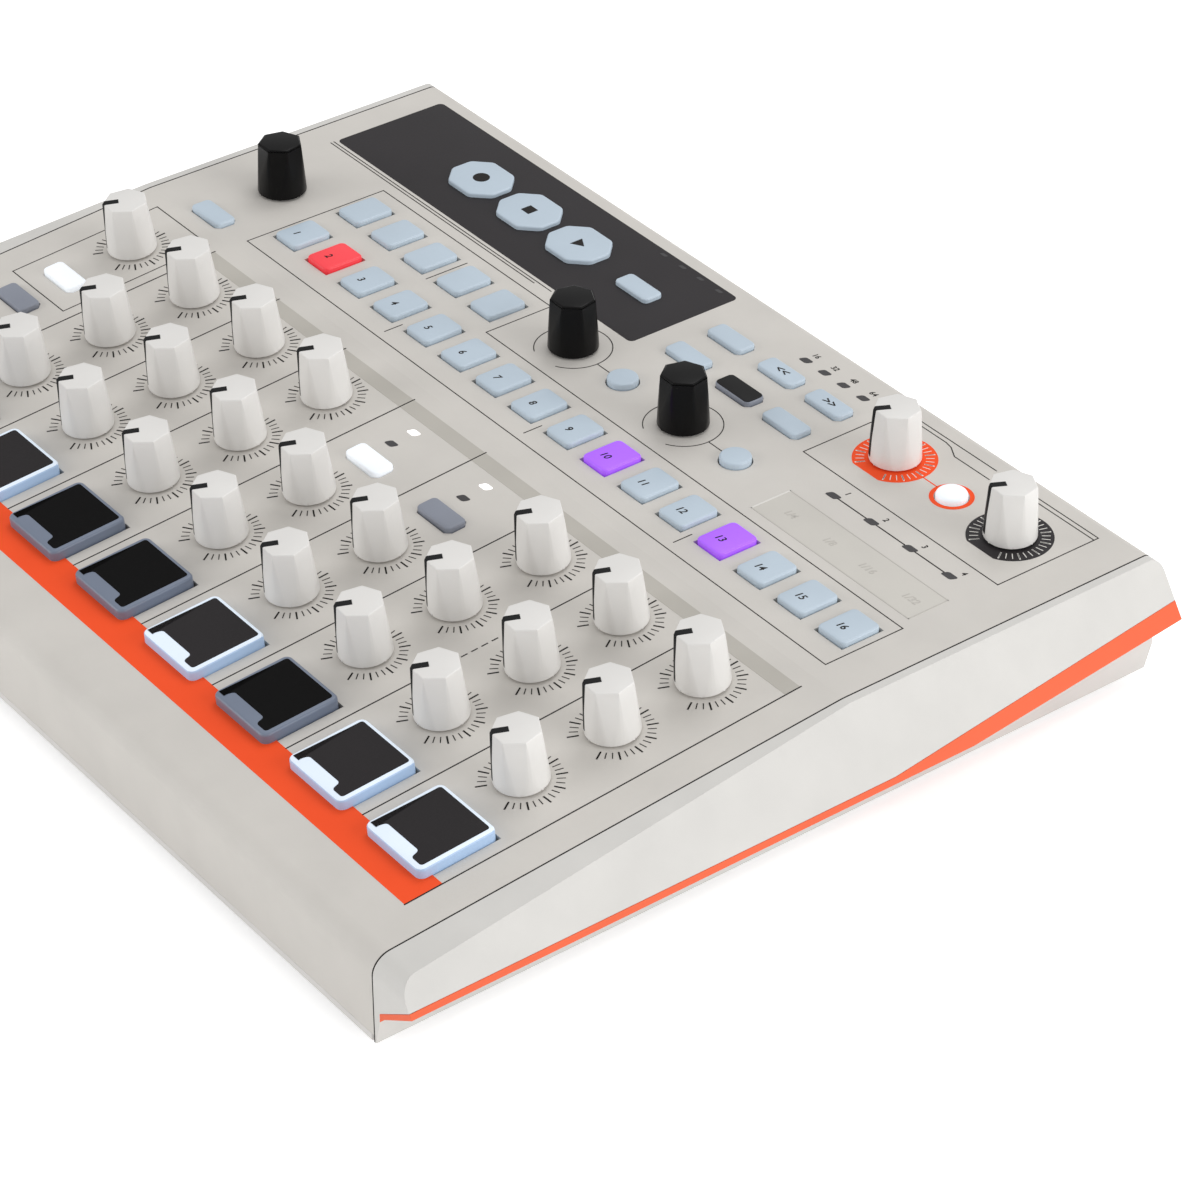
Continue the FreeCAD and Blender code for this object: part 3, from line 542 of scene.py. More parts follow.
def make_finishes():
    """Every finish of the machine, by name."""
    c = sizes().colours
    return {
        "panel": finish_material("panel_paint", c.panel, 0.55, 1800, 0.25, shine=0.3),
        "cheek": finish_material("cheek_paint", c.cheek, 0.5, 1800, 0.2, shine=0.3),
        "base": finish_material("base_plastic", c.base, 0.6, 1200, 0.35, shine=0.3),
        "trim": finish_material("trim_plastic", c.trim, 0.4, 1500, 0.1, shine=0.3),
        "orange": finish_material("orange_print", c.orange, 0.6, 2500, 0.1, shine=0.1),
        # Dark print; the same finish is also the painted shadow laid in the seams beside the cheeks.
        "ink": finish_material("dark_print_and_seam_shadow", c.ink, 0.6, 2500, 0.1, drift=0.1, shine=0.1),
        "white_ink": finish_material("white_print", (0.93, 0.92, 0.9), 0.6, 2500, 0.1, shine=0.1),
        "band": finish_material("label_band_print", c.band, 0.55, 2500, 0.1, shine=0.2),
        # Faint marks for the strip's fractions; the same finish is the painted shade along the strip's edges.
        "faint": finish_material("faint_marks_and_edge_shade", (0.765, 0.75, 0.725), 0.5, 2500, 0.1, shine=0.2),
        # Painted highlight on the touch strip's left edge.
        "glint": finish_material("strip_edge_highlight", (0.89, 0.88, 0.86), 0.45, 2500, 0.1, shine=0.3),
        "charcoal": finish_material("charcoal_print", c.charcoal, 0.5, 2000, 0.15, drift=0.05, shine=0.2),
        "white_knob": finish_material("white_knob_plastic", c.knob, 0.35, 900, 0.08, shine=0.4),
        "black_knob": finish_material("black_knob_plastic", (0.03, 0.028, 0.03), 0.34, 900, 0.06, shine=0.16),
        "pointer": finish_material("pointer_paint", (0.055, 0.058, 0.065), 0.5, 1500, 0.1, shine=0.2),
        "pad_face": finish_material("pad_rubber", (0.175, 0.165, 0.17), 0.7, 1800, 0.4, shine=0.15),
        "dark_pad_face": finish_material("dim_pad_rubber", (0.05, 0.048, 0.05), 0.7, 1800, 0.4, shine=0.08),
        "pad_lit": finish_material("lit_pad_frame", c.pad_lit, 0.3, 700, 0.05, glow=0.14),
        "pad_top": finish_material("lit_pad_top", c.pad_top, 0.3, 700, 0.05, glow=0.16),
        "pad_dim": finish_material("dim_pad_frame", c.pad_dim, 0.35, 700, 0.05),
        "key": finish_material("key_silicone", c.key, 0.35, 700, 0.05),
        "dim_key": finish_material("dim_key_silicone", c.dim_key, 0.35, 700, 0.05),
        "purple": finish_material("purple_light_key", c.purple, 0.35, 700, 0.05, glow=0.2),
        "red": finish_material("red_light_key", c.red, 0.35, 700, 0.05, glow=0.2),
        "white_light": finish_material("white_light_key", (0.95, 0.97, 1), 0.35, 700, 0.05, glow=0.22),
        "black_key": finish_material("black_key_cap", (0.055, 0.052, 0.054), 0.4, 900, 0.1, shine=0.2),
        "window": finish_material("dark_lamp_window", (0.29, 0.285, 0.29), 0.4, 900, 0.05, shine=0.2),
        "lamp": finish_material("white_lamp", (1, 1, 1), 0.3, 900, 0.05, glow=0.8),
        "rubber": finish_material("foot_rubber", (0.12, 0.12, 0.12), 0.8, 900, 0.5),
        "metal": finish_material("screw_metal", (0.62, 0.62, 0.61), 0.3, 900, 0.2, metal=1.0),
        "board": finish_material("board_lacquer", (0.06, 0.27, 0.16), 0.35, 900, 0.2),
        "socket": finish_material("socket_plastic", (0.08, 0.08, 0.085), 0.4, 900, 0.2),
        "strip": finish_material("strip_film", (0.812, 0.798, 0.77), 0.45, 1800, 0.1, shine=0.3),
        "display": finish_material("display_glass", (0.05, 0.055, 0.07), 0.1, 900, 0.0),
    }


FINISHES = {}

CAD_FINISHES = {
    "top_shell": "panel",
    "bottom_shell": "base",
    "left_side_cheek": "cheek",
    "right_side_cheek": "cheek",
    "side_trim_strips": "trim",
    "pot_housings": "metal",
    "circuit_boards": "board",
    "touch_strip": "strip",
    "display_module": "display",
    "rear_sockets": "socket",
    "rubber_feet": "rubber",
    "case_screws": "metal",
    "power_switch": "socket",
}


class DRUM_OT_case(bpy.types.Operator):
    """Give the shells, cheeks, trim, sockets and inner parts of the frame their finishes"""
    bl_idname = "drum.case"
    bl_label = "Case finishes"

    def execute(self, context):
        FINISHES.update(make_finishes())
        for name, finish in CAD_FINISHES.items():
            paint(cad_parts[name], FINISHES[finish])
        # Dark slices over the seams beside the cheeks: painted shadow standing in for the shade in the gaps.
        seam_line("left_side_cheek", -1)
        seam_line("right_side_cheek", 1)
        return {"FINISHED"}


def seam_line(node, side):
    """Painted shadow in the seam: a thin slice of a cheek's inner skin, painted in dark ink and laid over the
    gap beside the upper shell where the shade falls.
    """
    width = 0.36 * MM
    over = 0.03 * MM
    low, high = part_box(node)
    inner = high.x if side < 0 else low.x
    line = placed_copy(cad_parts[node], node + "_seam", Matrix.Identity(4))
    line.parent = None
    line.matrix_world = Matrix.Identity(4)
    edit(line)
    bpy.ops.mesh.select_all(action="SELECT")
    bpy.ops.mesh.remove_doubles(threshold=1e-6)
    bpy.ops.mesh.select_all(action="SELECT")
    bpy.ops.mesh.bisect(plane_co=(inner + side * width, 0, 0), plane_no=(side, 0, 0),
                        clear_outer=True, use_fill=True)
    leave()
    line.data.transform(Matrix.Translation((-side * width / 2, -over, over)))
    # The slice gets the dark ink as the seam's painted shadow.
    paint(line, FINISHES["ink"])
    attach(line, "case")


KNOB_FOOT_BEVEL = 0.35 * MM
KNOB_BRIM = 0.3 * MM
ENCODER_BRIM = 0.6 * MM
POINTER_END = 1.3 * MM
POINTER_THICKNESS = 0.06 * MM
FLAT_SMOOTHING = 22


def knob_body(name, brim):
    """A round knob that turns into flats towards its top, about the origin."""
    k = sizes().knob
    deselect()
    bpy.ops.mesh.primitive_cone_add(
        vertices=96, radius1=k.base_radius, radius2=k.top_radius, depth=k.height,
        location=(0, 0, k.lift + k.height / 2))
    bpy.ops.object.transform_apply(location=True, rotation=False, scale=False)
    piece = bpy.context.object
    piece.name = name
    top = k.lift + k.height
    fall = (k.base_radius - k.top_flats) / k.height
    bpy.ops.object.mode_set(mode="EDIT")
    for flat in range(k.flats):
        angle = k.rest_turn + (flat + 0.5) * 2 * math.pi / k.flats
        out = Vector((math.cos(angle), math.sin(angle), 0))
        normal = (out + Vector((0, 0, fall))).normalized()
        bpy.ops.mesh.select_all(action="SELECT")
        bpy.ops.mesh.bisect(plane_co=out * k.top_flats + Vector((0, 0, top)), plane_no=normal,
                            use_fill=True, clear_outer=True, threshold=1e-7)
    bpy.ops.mesh.select_all(action="SELECT")
    bpy.ops.mesh.remove_doubles(threshold=2e-6)
    select_edges(over(top - NEAR))
    bpy.ops.mesh.bevel(offset=brim, segments=4, affect="EDGES")
    select_edges(lambda e: all(v.co.z < k.lift + NEAR for v in e.verts))
    bpy.ops.mesh.bevel(offset=KNOB_FOOT_BEVEL, segments=3, affect="EDGES")
    leave()
    return piece


def pointer_line(knob, name):
    """A thin painted strip over the top and down the side, cut from the knob's own surface."""
    k = sizes().knob
    strip = placed_copy(knob, name, Matrix.Identity(4))
    along = Vector((math.cos(k.rest_turn), math.sin(k.rest_turn), 0))
    across = Vector((-along.y, along.x, 0))
    edit(strip)
    cuts = [
        (across * k.pointer_width / 2, across),
        (-across * k.pointer_width / 2, -across),
        (along * k.pointer_start, -along),
        (Vector((0, 0, k.lift + POINTER_END)), Vector((0, 0, -1))),
    ]
    for point, outward in cuts:
        bpy.ops.mesh.select_all(action="SELECT")
        bpy.ops.mesh.bisect(plane_co=point, plane_no=outward, clear_outer=True, threshold=1e-7)
    leave()
    skin = strip.modifiers.new("Paint", "SOLIDIFY")
    skin.thickness = POINTER_THICKNESS
    skin.offset = 1
    apply_modifiers(strip)
    return strip


class DRUM_OT_knobs(bpy.types.Operator):
    """Model the white knob with its pointer once and set it on every shaft"""
    bl_idname = "drum.knobs"
    bl_label = "White knobs"

    def execute(self, context):
        body = knob_body("knob_pattern", KNOB_BRIM)
        strip = pointer_line(body, "pointer_pattern")
        paint(body, FINISHES["white_knob"])
        paint(strip, FINISHES["pointer"])
        smooth(body, FLAT_SMOOTHING)
        smooth(strip, FLAT_SMOOTHING)
        places = dict(knob_places())
        places["distortion_knob"] = (DISTORTION_X, OUTPUT_ROW)
        places["master_volume_knob"] = (MASTER_X, OUTPUT_ROW)
        for node, (x, s) in places.items():
            matrix = at(x, s)
            knob = placed_copy(body, node + "_cap", matrix)
            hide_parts(node)
            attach(knob, node)
            pointer = placed_copy(strip, node + "_pointer", matrix)
            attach(pointer, node)
        remove(body)
        remove(strip)
        return {"FINISHED"}


class DRUM_OT_encoders(bpy.types.Operator):
    """Model the black encoder knob once and set it on the three encoders"""
    bl_idname = "drum.encoders"
    bl_label = "Black encoders"

    def execute(self, context):
        body = knob_body("encoder_pattern", ENCODER_BRIM)
        paint(body, FINISHES["black_knob"])
        smooth(body, FLAT_SMOOTHING)
        places = {"swing_encoder": (SWING_X, ENCODER_ROW), "random_encoder": (RANDOM_X, ENCODER_ROW),
                  "tempo_encoder": TEMPO_PLACE}
        for node, (x, s) in places.items():
            knob = placed_copy(body, node + "_cap", at(x, s))
            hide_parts(node)
            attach(knob, node)
        remove(body)
        return {"FINISHED"}


PAD_LOW = -0.7 * MM
PAD_BRIM = 0.75 * MM
FACE_BACK = 0.2 * MM
FACE_SINK = 0.09 * MM
FACE_THICKNESS = 0.35 * MM
FACE_CORNER = 0.75 * MM
FACE_BRIM = 0.1 * MM
NOTCH_START = 0.08
NOTCH_END = 0.80
NOTCH_SLANT = 0.7 * MM


def pad_face(name):
    """The black face of a pad: a thin plate with a notch in its front edge."""
    p = sizes().pad
    half = p.face / 2
    left = -half + NOTCH_START * p.face
    right = -half + NOTCH_END * p.face
    deselect()
    bpy.ops.mesh.primitive_plane_add(size=p.face)
    face = bpy.context.object
    face.name = name
    bpy.ops.object.mode_set(mode="EDIT")
    for point, normal in (((left + NOTCH_SLANT, 0, 0), (1, 0, 0)), ((right - NOTCH_SLANT, 0, 0), (1, 0, 0)),
                          ((0, -half + p.notch, 0), (0, 1, 0))):
        bpy.ops.mesh.select_all(action="SELECT")
        bpy.ops.mesh.bisect(plane_co=point, plane_no=normal)

    def in_notch(plate):
        centre = plate.calc_center_median()
        return left < centre.x < right and centre.y < -half + p.notch

    select_faces(in_notch)
    bpy.ops.mesh.delete(type="FACE")
    work = bmesh.from_edit_mesh(face.data)
    for vertex in work.verts:
        if vertex.co.y < -half + 1e-6 and abs(vertex.co.x) < half - 1e-6:
            vertex.co.x += -NOTCH_SLANT if vertex.co.x < 0 else NOTCH_SLANT
    bmesh.update_edit_mesh(face.data)
    bpy.ops.mesh.select_all(action="SELECT")
    bpy.ops.mesh.dissolve_limited(angle_limit=0.01)
    leave()
    thick = face.modifiers.new("Thickness", "SOLIDIFY")
    thick.thickness = FACE_THICKNESS
    thick.offset = 0
    apply_modifiers(face)
    edit(face)
    select_edges(upright(FACE_THICKNESS / 2))
    bpy.ops.mesh.bevel(offset=FACE_CORNER, segments=4, affect="EDGES")
    select_edges(lambda e: all(v.co.z > 0.1 * MM for v in e.verts) and len(e.link_faces) == 2
                 and e.calc_face_angle() > 1)
    bpy.ops.mesh.bevel(offset=FACE_BRIM, segments=2, affect="EDGES")
    leave()
    choose(face)
    bpy.ops.object.shade_flat()
    return face


class DRUM_OT_pads(bpy.types.Operator):
    """Model the drum pad with its translucent frame and black face and set the eight pads"""
    bl_idname = "drum.pads"
    bl_label = "Drum pads"

    def execute(self, context):
        p = sizes().pad
        names = ["kick", "snare_one", "snare_two", "tom", "cymbal", "closed_hat", "open_hat", "fm"]
        lit = {"snare_one", "cymbal", "open_hat", "fm"}
        frame_block = rounded_block("pad_pattern", p.side, p.side, PAD_LOW, p.height, p.corner, PAD_BRIM)
        face = pad_face("pad_face_pattern")
        for index, name in enumerate(names):
            x = column(index + 1) + p.offset
            matrix = at(x, p.row)
            node = name + "_pad"
            shown = name in lit
            block = placed_copy(frame_block, node + "_frame", matrix)
            if shown:
                paint(block, FINISHES["pad_lit"], FINISHES["pad_top"])
                for side in block.data.polygons:
                    side.material_index = int(side.normal.z > 0.6)
            else:
                paint(block, FINISHES["pad_dim"])
            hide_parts(node)
            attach(block, node)
            plate = placed_copy(face, node + "_face",
                                matrix @ Matrix.Translation((0, FACE_BACK, p.height - FACE_SINK)))
            paint(plate, FINISHES["pad_face" if shown else "dark_pad_face"])
            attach(plate, node)
        remove(frame_block)
        remove(face)
        return {"FINISHED"}


KEY_LOW = -2 * MM
SMALL_KEY_CORNER = 1.4 * MM
STEP_LIGHTS = {2: "red", 10: "purple", 13: "purple"}


def set_keys(pattern, node, keys):
    """Copies of a key form on a node's body: keys is a list of (x, s, finish)."""
    for index, (x, s, finish) in enumerate(keys):
        key = placed_copy(pattern, "%s_cap_%d" % (node, index + 1), at(x, s))
        paint(key, FINISHES[finish])
        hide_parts(node)
        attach(key, node)


class DRUM_OT_step_keys(bpy.types.Operator):
    """Model the step key once and set the sixteen step keys and five mode keys"""
    bl_idname = "drum.step_keys"
    bl_label = "Step and mode keys"

    def execute(self, context):
        k = sizes().key
        p = sizes().panel
        key = rounded_block("step_key_pattern", k.width, k.length, KEY_LOW, k.height, k.corner, k.brim)
        steps = [(step(n), p.step_row, STEP_LIGHTS.get(n, "key")) for n in range(1, 17)]
        set_keys(key, "step_keys_1_to_8", steps[:8])
        set_keys(key, "step_keys_9_to_16", steps[8:])
        set_keys(key, "mode_keys", [(step(n), p.mode_row, "key") for n in range(1, 6)])
        remove(key)
        return {"FINISHED"}


class DRUM_OT_small_keys(bpy.types.Operator):
    """Model the small oblong key once and set the edit, type, sync, tap and left-edge keys"""
    bl_idname = "drum.small_keys"
    bl_label = "Small keys"

    def execute(self, context):
        k = sizes().key
        key = rounded_block("small_key_pattern", k.small_width, k.small_length, KEY_LOW, k.height,
                            SMALL_KEY_CORNER, k.brim)
        set_keys(key, "edit_keys", [(x, s, "dim_key" if (x, s) == SAVE_KEY else "key")
                                    for s in EDIT_ROWS for x in EDIT_COLUMNS])
        left = [(column(0), METRONOME_ROW - row * LEFT_PITCH, "white_light" if row == 0 else "dim_key")
                for row in range(4)]
        set_keys(key, "left_edge_keys", left)
        types = [(column(4), TYPE_ROW, "white_light"), (column(5), TYPE_ROW, "dim_key")]
        set_keys(key, "type_keys", types)
        set_keys(key, "sync_and_tap_keys", [(*SYNC_PLACE, "key"), (*TAP_PLACE, "key")])
        rim = 0.25 * MM
        sunk = 0.2 * MM
        proud = 0.06 * MM
        cap = rounded_block("save_key_top", k.small_width - 2 * rim, k.small_length - 2 * rim,
                            k.height - sunk, k.height + proud, 1.2 * MM, 0.05 * MM)
        cap.data.transform(at(*SAVE_KEY))
        paint(cap, FINISHES["black_key"])
        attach(cap, "edit_keys")
        remove(key)
        return {"FINISHED"}


ROUND_KEY_RADIUS = 4.0 * MM
ROUND_KEY_HEIGHT = 1.6 * MM


def round_key(name, dome):
    """A round key with a softly domed top."""
    height = ROUND_KEY_HEIGHT
    deselect()
    bpy.ops.mesh.primitive_cylinder_add(vertices=48, radius=ROUND_KEY_RADIUS, depth=height - KEY_LOW,
                                        location=(0, 0, (height + KEY_LOW) / 2))
    bpy.ops.object.transform_apply(location=True, rotation=False, scale=False)
    piece = bpy.context.object
    piece.name = name
    bpy.ops.object.mode_set(mode="EDIT")
    select_edges(over(height - NEAR))
    bpy.ops.mesh.bevel(offset=dome, segments=6, affect="EDGES")
    leave()
    smooth(piece)
    return piece


class DRUM_OT_round_keys(bpy.types.Operator):
    """Model the round keys beside the encoders and the lit dome between the output knobs"""
    bl_idname = "drum.round_keys"
    bl_label = "Round keys"

    def execute(self, context):
        flat = round_key("round_key_pattern", 0.5 * MM)
        dome = round_key("dome_key_pattern", 1.2 * MM)
        both = [(x + ROUND_KEY_AWAY, ENCODER_ROW, "key") for x in (SWING_X, RANDOM_X)]
        set_keys(flat, "round_keys", both)
        lit = placed_copy(dome, "round_keys_cap_lit", at((DISTORTION_X + MASTER_X) / 2, OUTPUT_ROW))
        paint(lit, FINISHES["white_light"])
        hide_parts("round_keys")
        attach(lit, "round_keys")
        remove(flat)
        remove(dome)
        return {"FINISHED"}


def transport_block():
    """The octagonal transport button."""
    width = 18.4 * MM
    length = 15.4 * MM
    corner = 4.6 * MM
    low = -2 * MM
    top = sizes().key.height
    deselect()
    bpy.ops.mesh.primitive_cube_add(size=1)
    piece = bpy.context.object
    piece.name = "transport_pattern"
    bpy.ops.object.mode_set(mode="EDIT")
    fit_selected(Matrix.Translation((0, 0, (low + top) / 2))
                 @ Matrix.Diagonal((width, length, top - low, 1)))
    select_edges(upright(MM))
    bpy.ops.mesh.bevel(offset=corner, segments=1, affect="EDGES")
    select_edges(upright(MM))
    bpy.ops.mesh.bevel(offset=0.8 * MM, segments=3, affect="EDGES")
    select_edges(over(top - 0.1 * MM))
    bpy.ops.mesh.bevel(offset=0.5 * MM, segments=4, affect="EDGES")
    leave()
    smooth(piece)
    return piece


class DRUM_OT_transport(bpy.types.Operator):
    """Model the play, stop and record buttons with their marks"""
    bl_idname = "drum.transport"
    bl_label = "Transport buttons"

    def execute(self, context):
        block = transport_block()
        top = sizes().key.height
        mark_radius = 2.3 * MM
        marks = {"play_button": 3, "stop_button": 4, "record_button": 32}
        for index, (node, sides) in enumerate(marks.items()):
            x = PLAY_X - index * TRANSPORT_PITCH
            set_keys(block, node, [(x, TRANSPORT_ROW, "key")])
            mark = Printing(node + "_mark")
            bpy.ops.mesh.primitive_circle_add(
                vertices=sides, radius=mark_radius, fill_type="NGON", location=(x, TRANSPORT_ROW, 0),
                rotation=(0, 0, math.radians({3: -90, 4: 45, 32: 0}[sides])))
            mark.finish(TRANSPORT_ROW, FINISHES["ink"], body=node, above=top)
        remove(block)
        return {"FINISHED"}


MAJOR_TICKS = 11
DIAL_RADIUS = 10.5 * MM
DIAL_FLAT = 9.5 * MM
DOME_RING_INNER = 4.35 * MM
DOME_RING_OUTER = 5.5 * MM


def spun_ticks(printing, centre, start, end, width, count):
    """One tick, then the rest by spinning copies of it round the centre."""
    first = sizes().knob.rest_turn
    travel = sizes().knob.travel
    out = Vector((math.cos(first), math.sin(first)))
    middle = Vector(centre)
    printing.line(middle + out * start, middle + out * end, width)
    bpy.ops.mesh.spin(steps=count - 1, dupli=True, angle=travel, center=(centre[0], centre[1], 0),
                      axis=(0, 0, 1))


class DRUM_OT_dials(bpy.types.Operator):
    """Print the ticks round the white knobs, model the two solid dials of the output section"""
    bl_idname = "drum.dials"
    bl_label = "Dials"

    def execute(self, context):
        k = sizes().knob
        ticks = Printing("knob_ticks")
        spun_ticks(ticks, (0, 0), k.tick_start, k.tick_end, 0.24 * MM, k.tick_count)
        spun_ticks(ticks, (0, 0), k.tick_start, k.major_end, 0.4 * MM, MAJOR_TICKS)
        pattern = ticks.finish(0, FINISHES["ink"])
        pattern.data.transform(panel_matrix(0).inverted())
        for node, (x, s) in knob_places().items():
            copy = placed_copy(pattern, node + "_ticks", at(x, s))
            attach(copy, "case")
        remove(pattern)
        for node, x, finish in (("distortion", DISTORTION_X, "orange"), ("master", MASTER_X, "charcoal")):
            disc = Printing(node + "_dial")
            disc.disc((x, OUTPUT_ROW), DIAL_RADIUS, 96)
            bpy.ops.mesh.bisect(plane_co=(x, OUTPUT_ROW - DIAL_FLAT, 0), plane_no=(0, -1, 0),
                                clear_outer=True)
            disc.finish(OUTPUT_ROW, FINISHES[finish])
            white = Printing(node + "_dial_ticks")
            spun_ticks(white, (x, OUTPUT_ROW), 7.6 * MM, 9.5 * MM, 0.2 * MM, k.tick_count)
            spun_ticks(white, (x, OUTPUT_ROW), 7.6 * MM, 9.8 * MM, 0.36 * MM, MAJOR_TICKS)
            white.finish(OUTPUT_ROW, FINISHES["white_ink"], above=sizes().printing.ink)
        key_x = (DISTORTION_X + MASTER_X) / 2
        ring = Printing("dome_key_ring")
        ring.ring((key_x, OUTPUT_ROW), DOME_RING_INNER, DOME_RING_OUTER)
        ring.line((DISTORTION_X + DIAL_RADIUS, OUTPUT_ROW), (key_x - DOME_RING_OUTER, OUTPUT_ROW),
                  0.3 * MM)
        ring.finish(OUTPUT_ROW, FINISHES["orange"])
        return {"FINISHED"}


class DRUM_OT_front_print(bpy.types.Operator):
    """Print the lines, label bands and orange band of the sloping panel"""
    bl_idname = "drum.front_print"
    bl_label = "Front panel printing"

    def execute(self, context):
        ink = sizes().printing
        lines = Printing("column_lines")
        back = 99.5 * MM
        band_front = -10 * MM
        dashed = 6
        dashes = 4
        first_dash = 48.6 * MM
        dash_pitch = 2.9 * MM
        dash_length = 1.5 * MM
        for number in range(8):
            x = column_line(number)
            if number == dashed:
                lines.line((x, 0), (x, 47 * MM), ink.line)
                for dash in range(dashes):
                    near = first_dash + dash * dash_pitch
                    lines.line((x, near), (x, near + dash_length), ink.line)
                lines.line((x, 60.5 * MM), (x, back), ink.line)
            else:
                lines.line((x, 0), (x, back), ink.line)
        lines.line((column_line(8), band_front), (column_line(8), back), ink.line)
        lines.finish(0, FINISHES["ink"])
        band = Printing("pad_band")
        clear = 0.2 * MM
        band.block(column_line(0), column_line(8) - clear, band_front, 0)
        band.finish(0, FINISHES["orange"])
        labels = Printing("label_bands")
        for number in range(8):
            labels.block(column_line(number) + clear, column_line(number + 1) - clear, 95 * MM,
                         back - clear)
        labels.finish(0, FINISHES["band"])
        box = Printing("metronome_box")
        left, right, front, rear = -134.4, -109.4, 55.1, 100
        box.path(millimetres([(left, rear), (left, front), (right, front), (right, rear), (left, rear)]),
                 ink.fine)
        box.finish(0, FINISHES["ink"])
        return {"FINISHED"}


class DRUM_OT_rear_print(bpy.types.Operator):
    """Print the sequencer frame, transport area, encoder rings and output frame of the level panel"""
    bl_idname = "drum.rear_print"
    bl_label = "Rear panel printing"

    def execute(self, context):
        ink = sizes().printing
        frame_lines = Printing("sequencer_frame")
        left, notch, right = -104.6, -30, 131.6
        front, middle, back = 108.9, 131.9, 152.4
        frame_lines.path(millimetres([(left, front), (right, front), (right, middle), (notch, middle),
                                      (notch, back), (left, back), (left, front)]), ink.fine)
        for bar in (4.5, 8.5, 12.5):
            x = step(bar) - 0.2 * MM
            frame_lines.line((x, 111.7 * MM), (x, 117.1 * MM), ink.fine)
        frame_lines.line((step(3.5), 135 * MM), (step(3.5), 148 * MM), ink.fine)
        frame_lines.finish(ENCODER_ROW, FINISHES["ink"])
        rings = Printing("encoder_rings")
        inner = 9.85 * MM
        outer = 10.1 * MM
        to_key = ROUND_KEY_AWAY - 4.3 * MM
        for x in (SWING_X, RANDOM_X):
            rings.ring((x, ENCODER_ROW), inner, outer, gap_half=math.radians(28))
            rings.line((x + 10 * MM, ENCODER_ROW), (x + to_key, ENCODER_ROW), ink.fine)
        rings.finish(ENCODER_ROW, FINISHES["ink"])
        output = Printing("output_frame")
        left, right = 61.1, 131.8
        front, inside, back = 160.7, 190.9, 192.3
        frame_right = [(left, front), (right, front), (right + 0.1, back), (109.4, back)]
        frame_left = [(95.9, back), (67.5, back), (left, 190.0), (left, front)]
        heading = [(69.0, inside), (79.1, inside), (81.5, 190.4), (85.0, 188.4), (97.6, 188.4)]
        for points in (frame_right, frame_left, heading, [(110.9, inside), (right, inside)]):
            output.path(millimetres(points), ink.fine)
        output.finish(OUTPUT_ROW, FINISHES["ink"])
        strip = Printing("strip_lamp_line")
        strip.path(millimetres([(x, STRIP_LAMP_ROW) for x in (STRIP_LAMPS[0], STRIP_LAMPS[-1])]), ink.line)
        strip.finish(OUTPUT_ROW, FINISHES["ink"])
        area = rounded_block("transport_area", TRANSPORT_AREA_WIDTH, TRANSPORT_AREA_LENGTH,
                             -0.05 * MM, ink.ink, TRANSPORT_AREA_CORNER, 0.01 * MM)
        area.data.transform(at(*TRANSPORT_AREA))
        paint(area, FINISHES["charcoal"])
        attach(area, "case")
        edge = Printing("transport_lines")
        edge.path(millimetres([(-134.5, 156.9), (-36, 156.9)]), ink.fine)
        edge.path(millimetres([(-134.5, 155.9), (-42, 155.9)]), ink.fine)
        edge.finish(TRANSPORT_ROW, FINISHES["ink"])
        return {"FINISHED"}


def lozenges(name, columns, s, finish, width=2.9, length=2.0, lean=0.45):
    """Small lamp windows with slanted ends, in one row, in millimetres."""
    windows = Printing(name)
    for x in columns:
        windows.block((x - width / 2) * MM, (x + width / 2) * MM,
                      (s - length / 2) * MM, (s + length / 2) * MM)
        bpy.ops.mesh.bevel(offset=min(width, length) * 0.3 * MM, segments=3, affect="VERTICES")
        work = bmesh.from_edit_mesh(windows.piece.data)
        for vertex in work.verts:
            if vertex.select:
                vertex.co.x += (vertex.co.y - s * MM) * lean
        bmesh.update_edit_mesh(windows.piece.data)
    windows.finish(s * MM, FINISHES[finish], height=0.08 * MM)


class DRUM_OT_lamps(bpy.types.Operator):
    """Print the small lamp windows, lit and dark"""
    bl_idname = "drum.lamps"
    bl_label = "Lamps"

    def execute(self, context):
        lozenges("length_lamps", LENGTH_LAMPS, LENGTH_LAMP_ROW, "window")
        lozenges("strip_lamps", STRIP_LAMPS, STRIP_LAMP_ROW, "window", width=3.4)
        lozenges("dark_type_lamps", TYPE_LAMPS, DARK_TYPE_ROW, "window")
        lozenges("lit_type_lamps", TYPE_LAMPS, LIT_TYPE_ROW, "lamp")
        lozenges("clock_lamps", CLOCK_LAMPS, CLOCK_LAMP_ROW, "window", width=2.2, length=1.0)
        return {"FINISHED"}


class DRUM_OT_digits(bpy.types.Operator):
    """Print the step numbers, arrows and lamp numbers"""
    bl_idname = "drum.digits"
    bl_label = "Digits"

    def execute(self, context):
        p = sizes().panel
        ink = sizes().printing
        top = sizes().key.height
        shift = (-0.9 * MM, -1.4 * MM)
        for first, node in ((1, "step_keys_1_to_8"), (9, "step_keys_9_to_16")):
            words = [(str(n), step(n) + shift[0], p.step_row + shift[1], ink.digit)
                     for n in range(first, first + 8)]
            lettering(node + "_digits", words, p.step_row, FINISHES["ink"], body=node, above=top)
        arrows = [(sign, x, EDIT_ROWS[1], 3.6 * MM) for sign, x in zip(("<<", ">>"), EDIT_COLUMNS[1:])]
        lettering("edit_arrows", arrows, EDIT_ROWS[1], FINISHES["ink"], body="edit_keys", above=top)
        steps_a_bar = 16
        lamps = [(str(steps_a_bar * (n + 1)), x * MM, LENGTH_NUMBER_ROW * MM, ink.small_digit)
                 for n, x in enumerate(LENGTH_LAMPS)]
        lamps += [(str(n + 1), (x + 1.5) * MM, STRIP_NUMBER_ROW * MM, ink.small_digit)
                  for n, x in enumerate(STRIP_LAMPS)]
        lettering("lamp_numbers", lamps, OUTPUT_ROW, FINISHES["ink"])
        return {"FINISHED"}


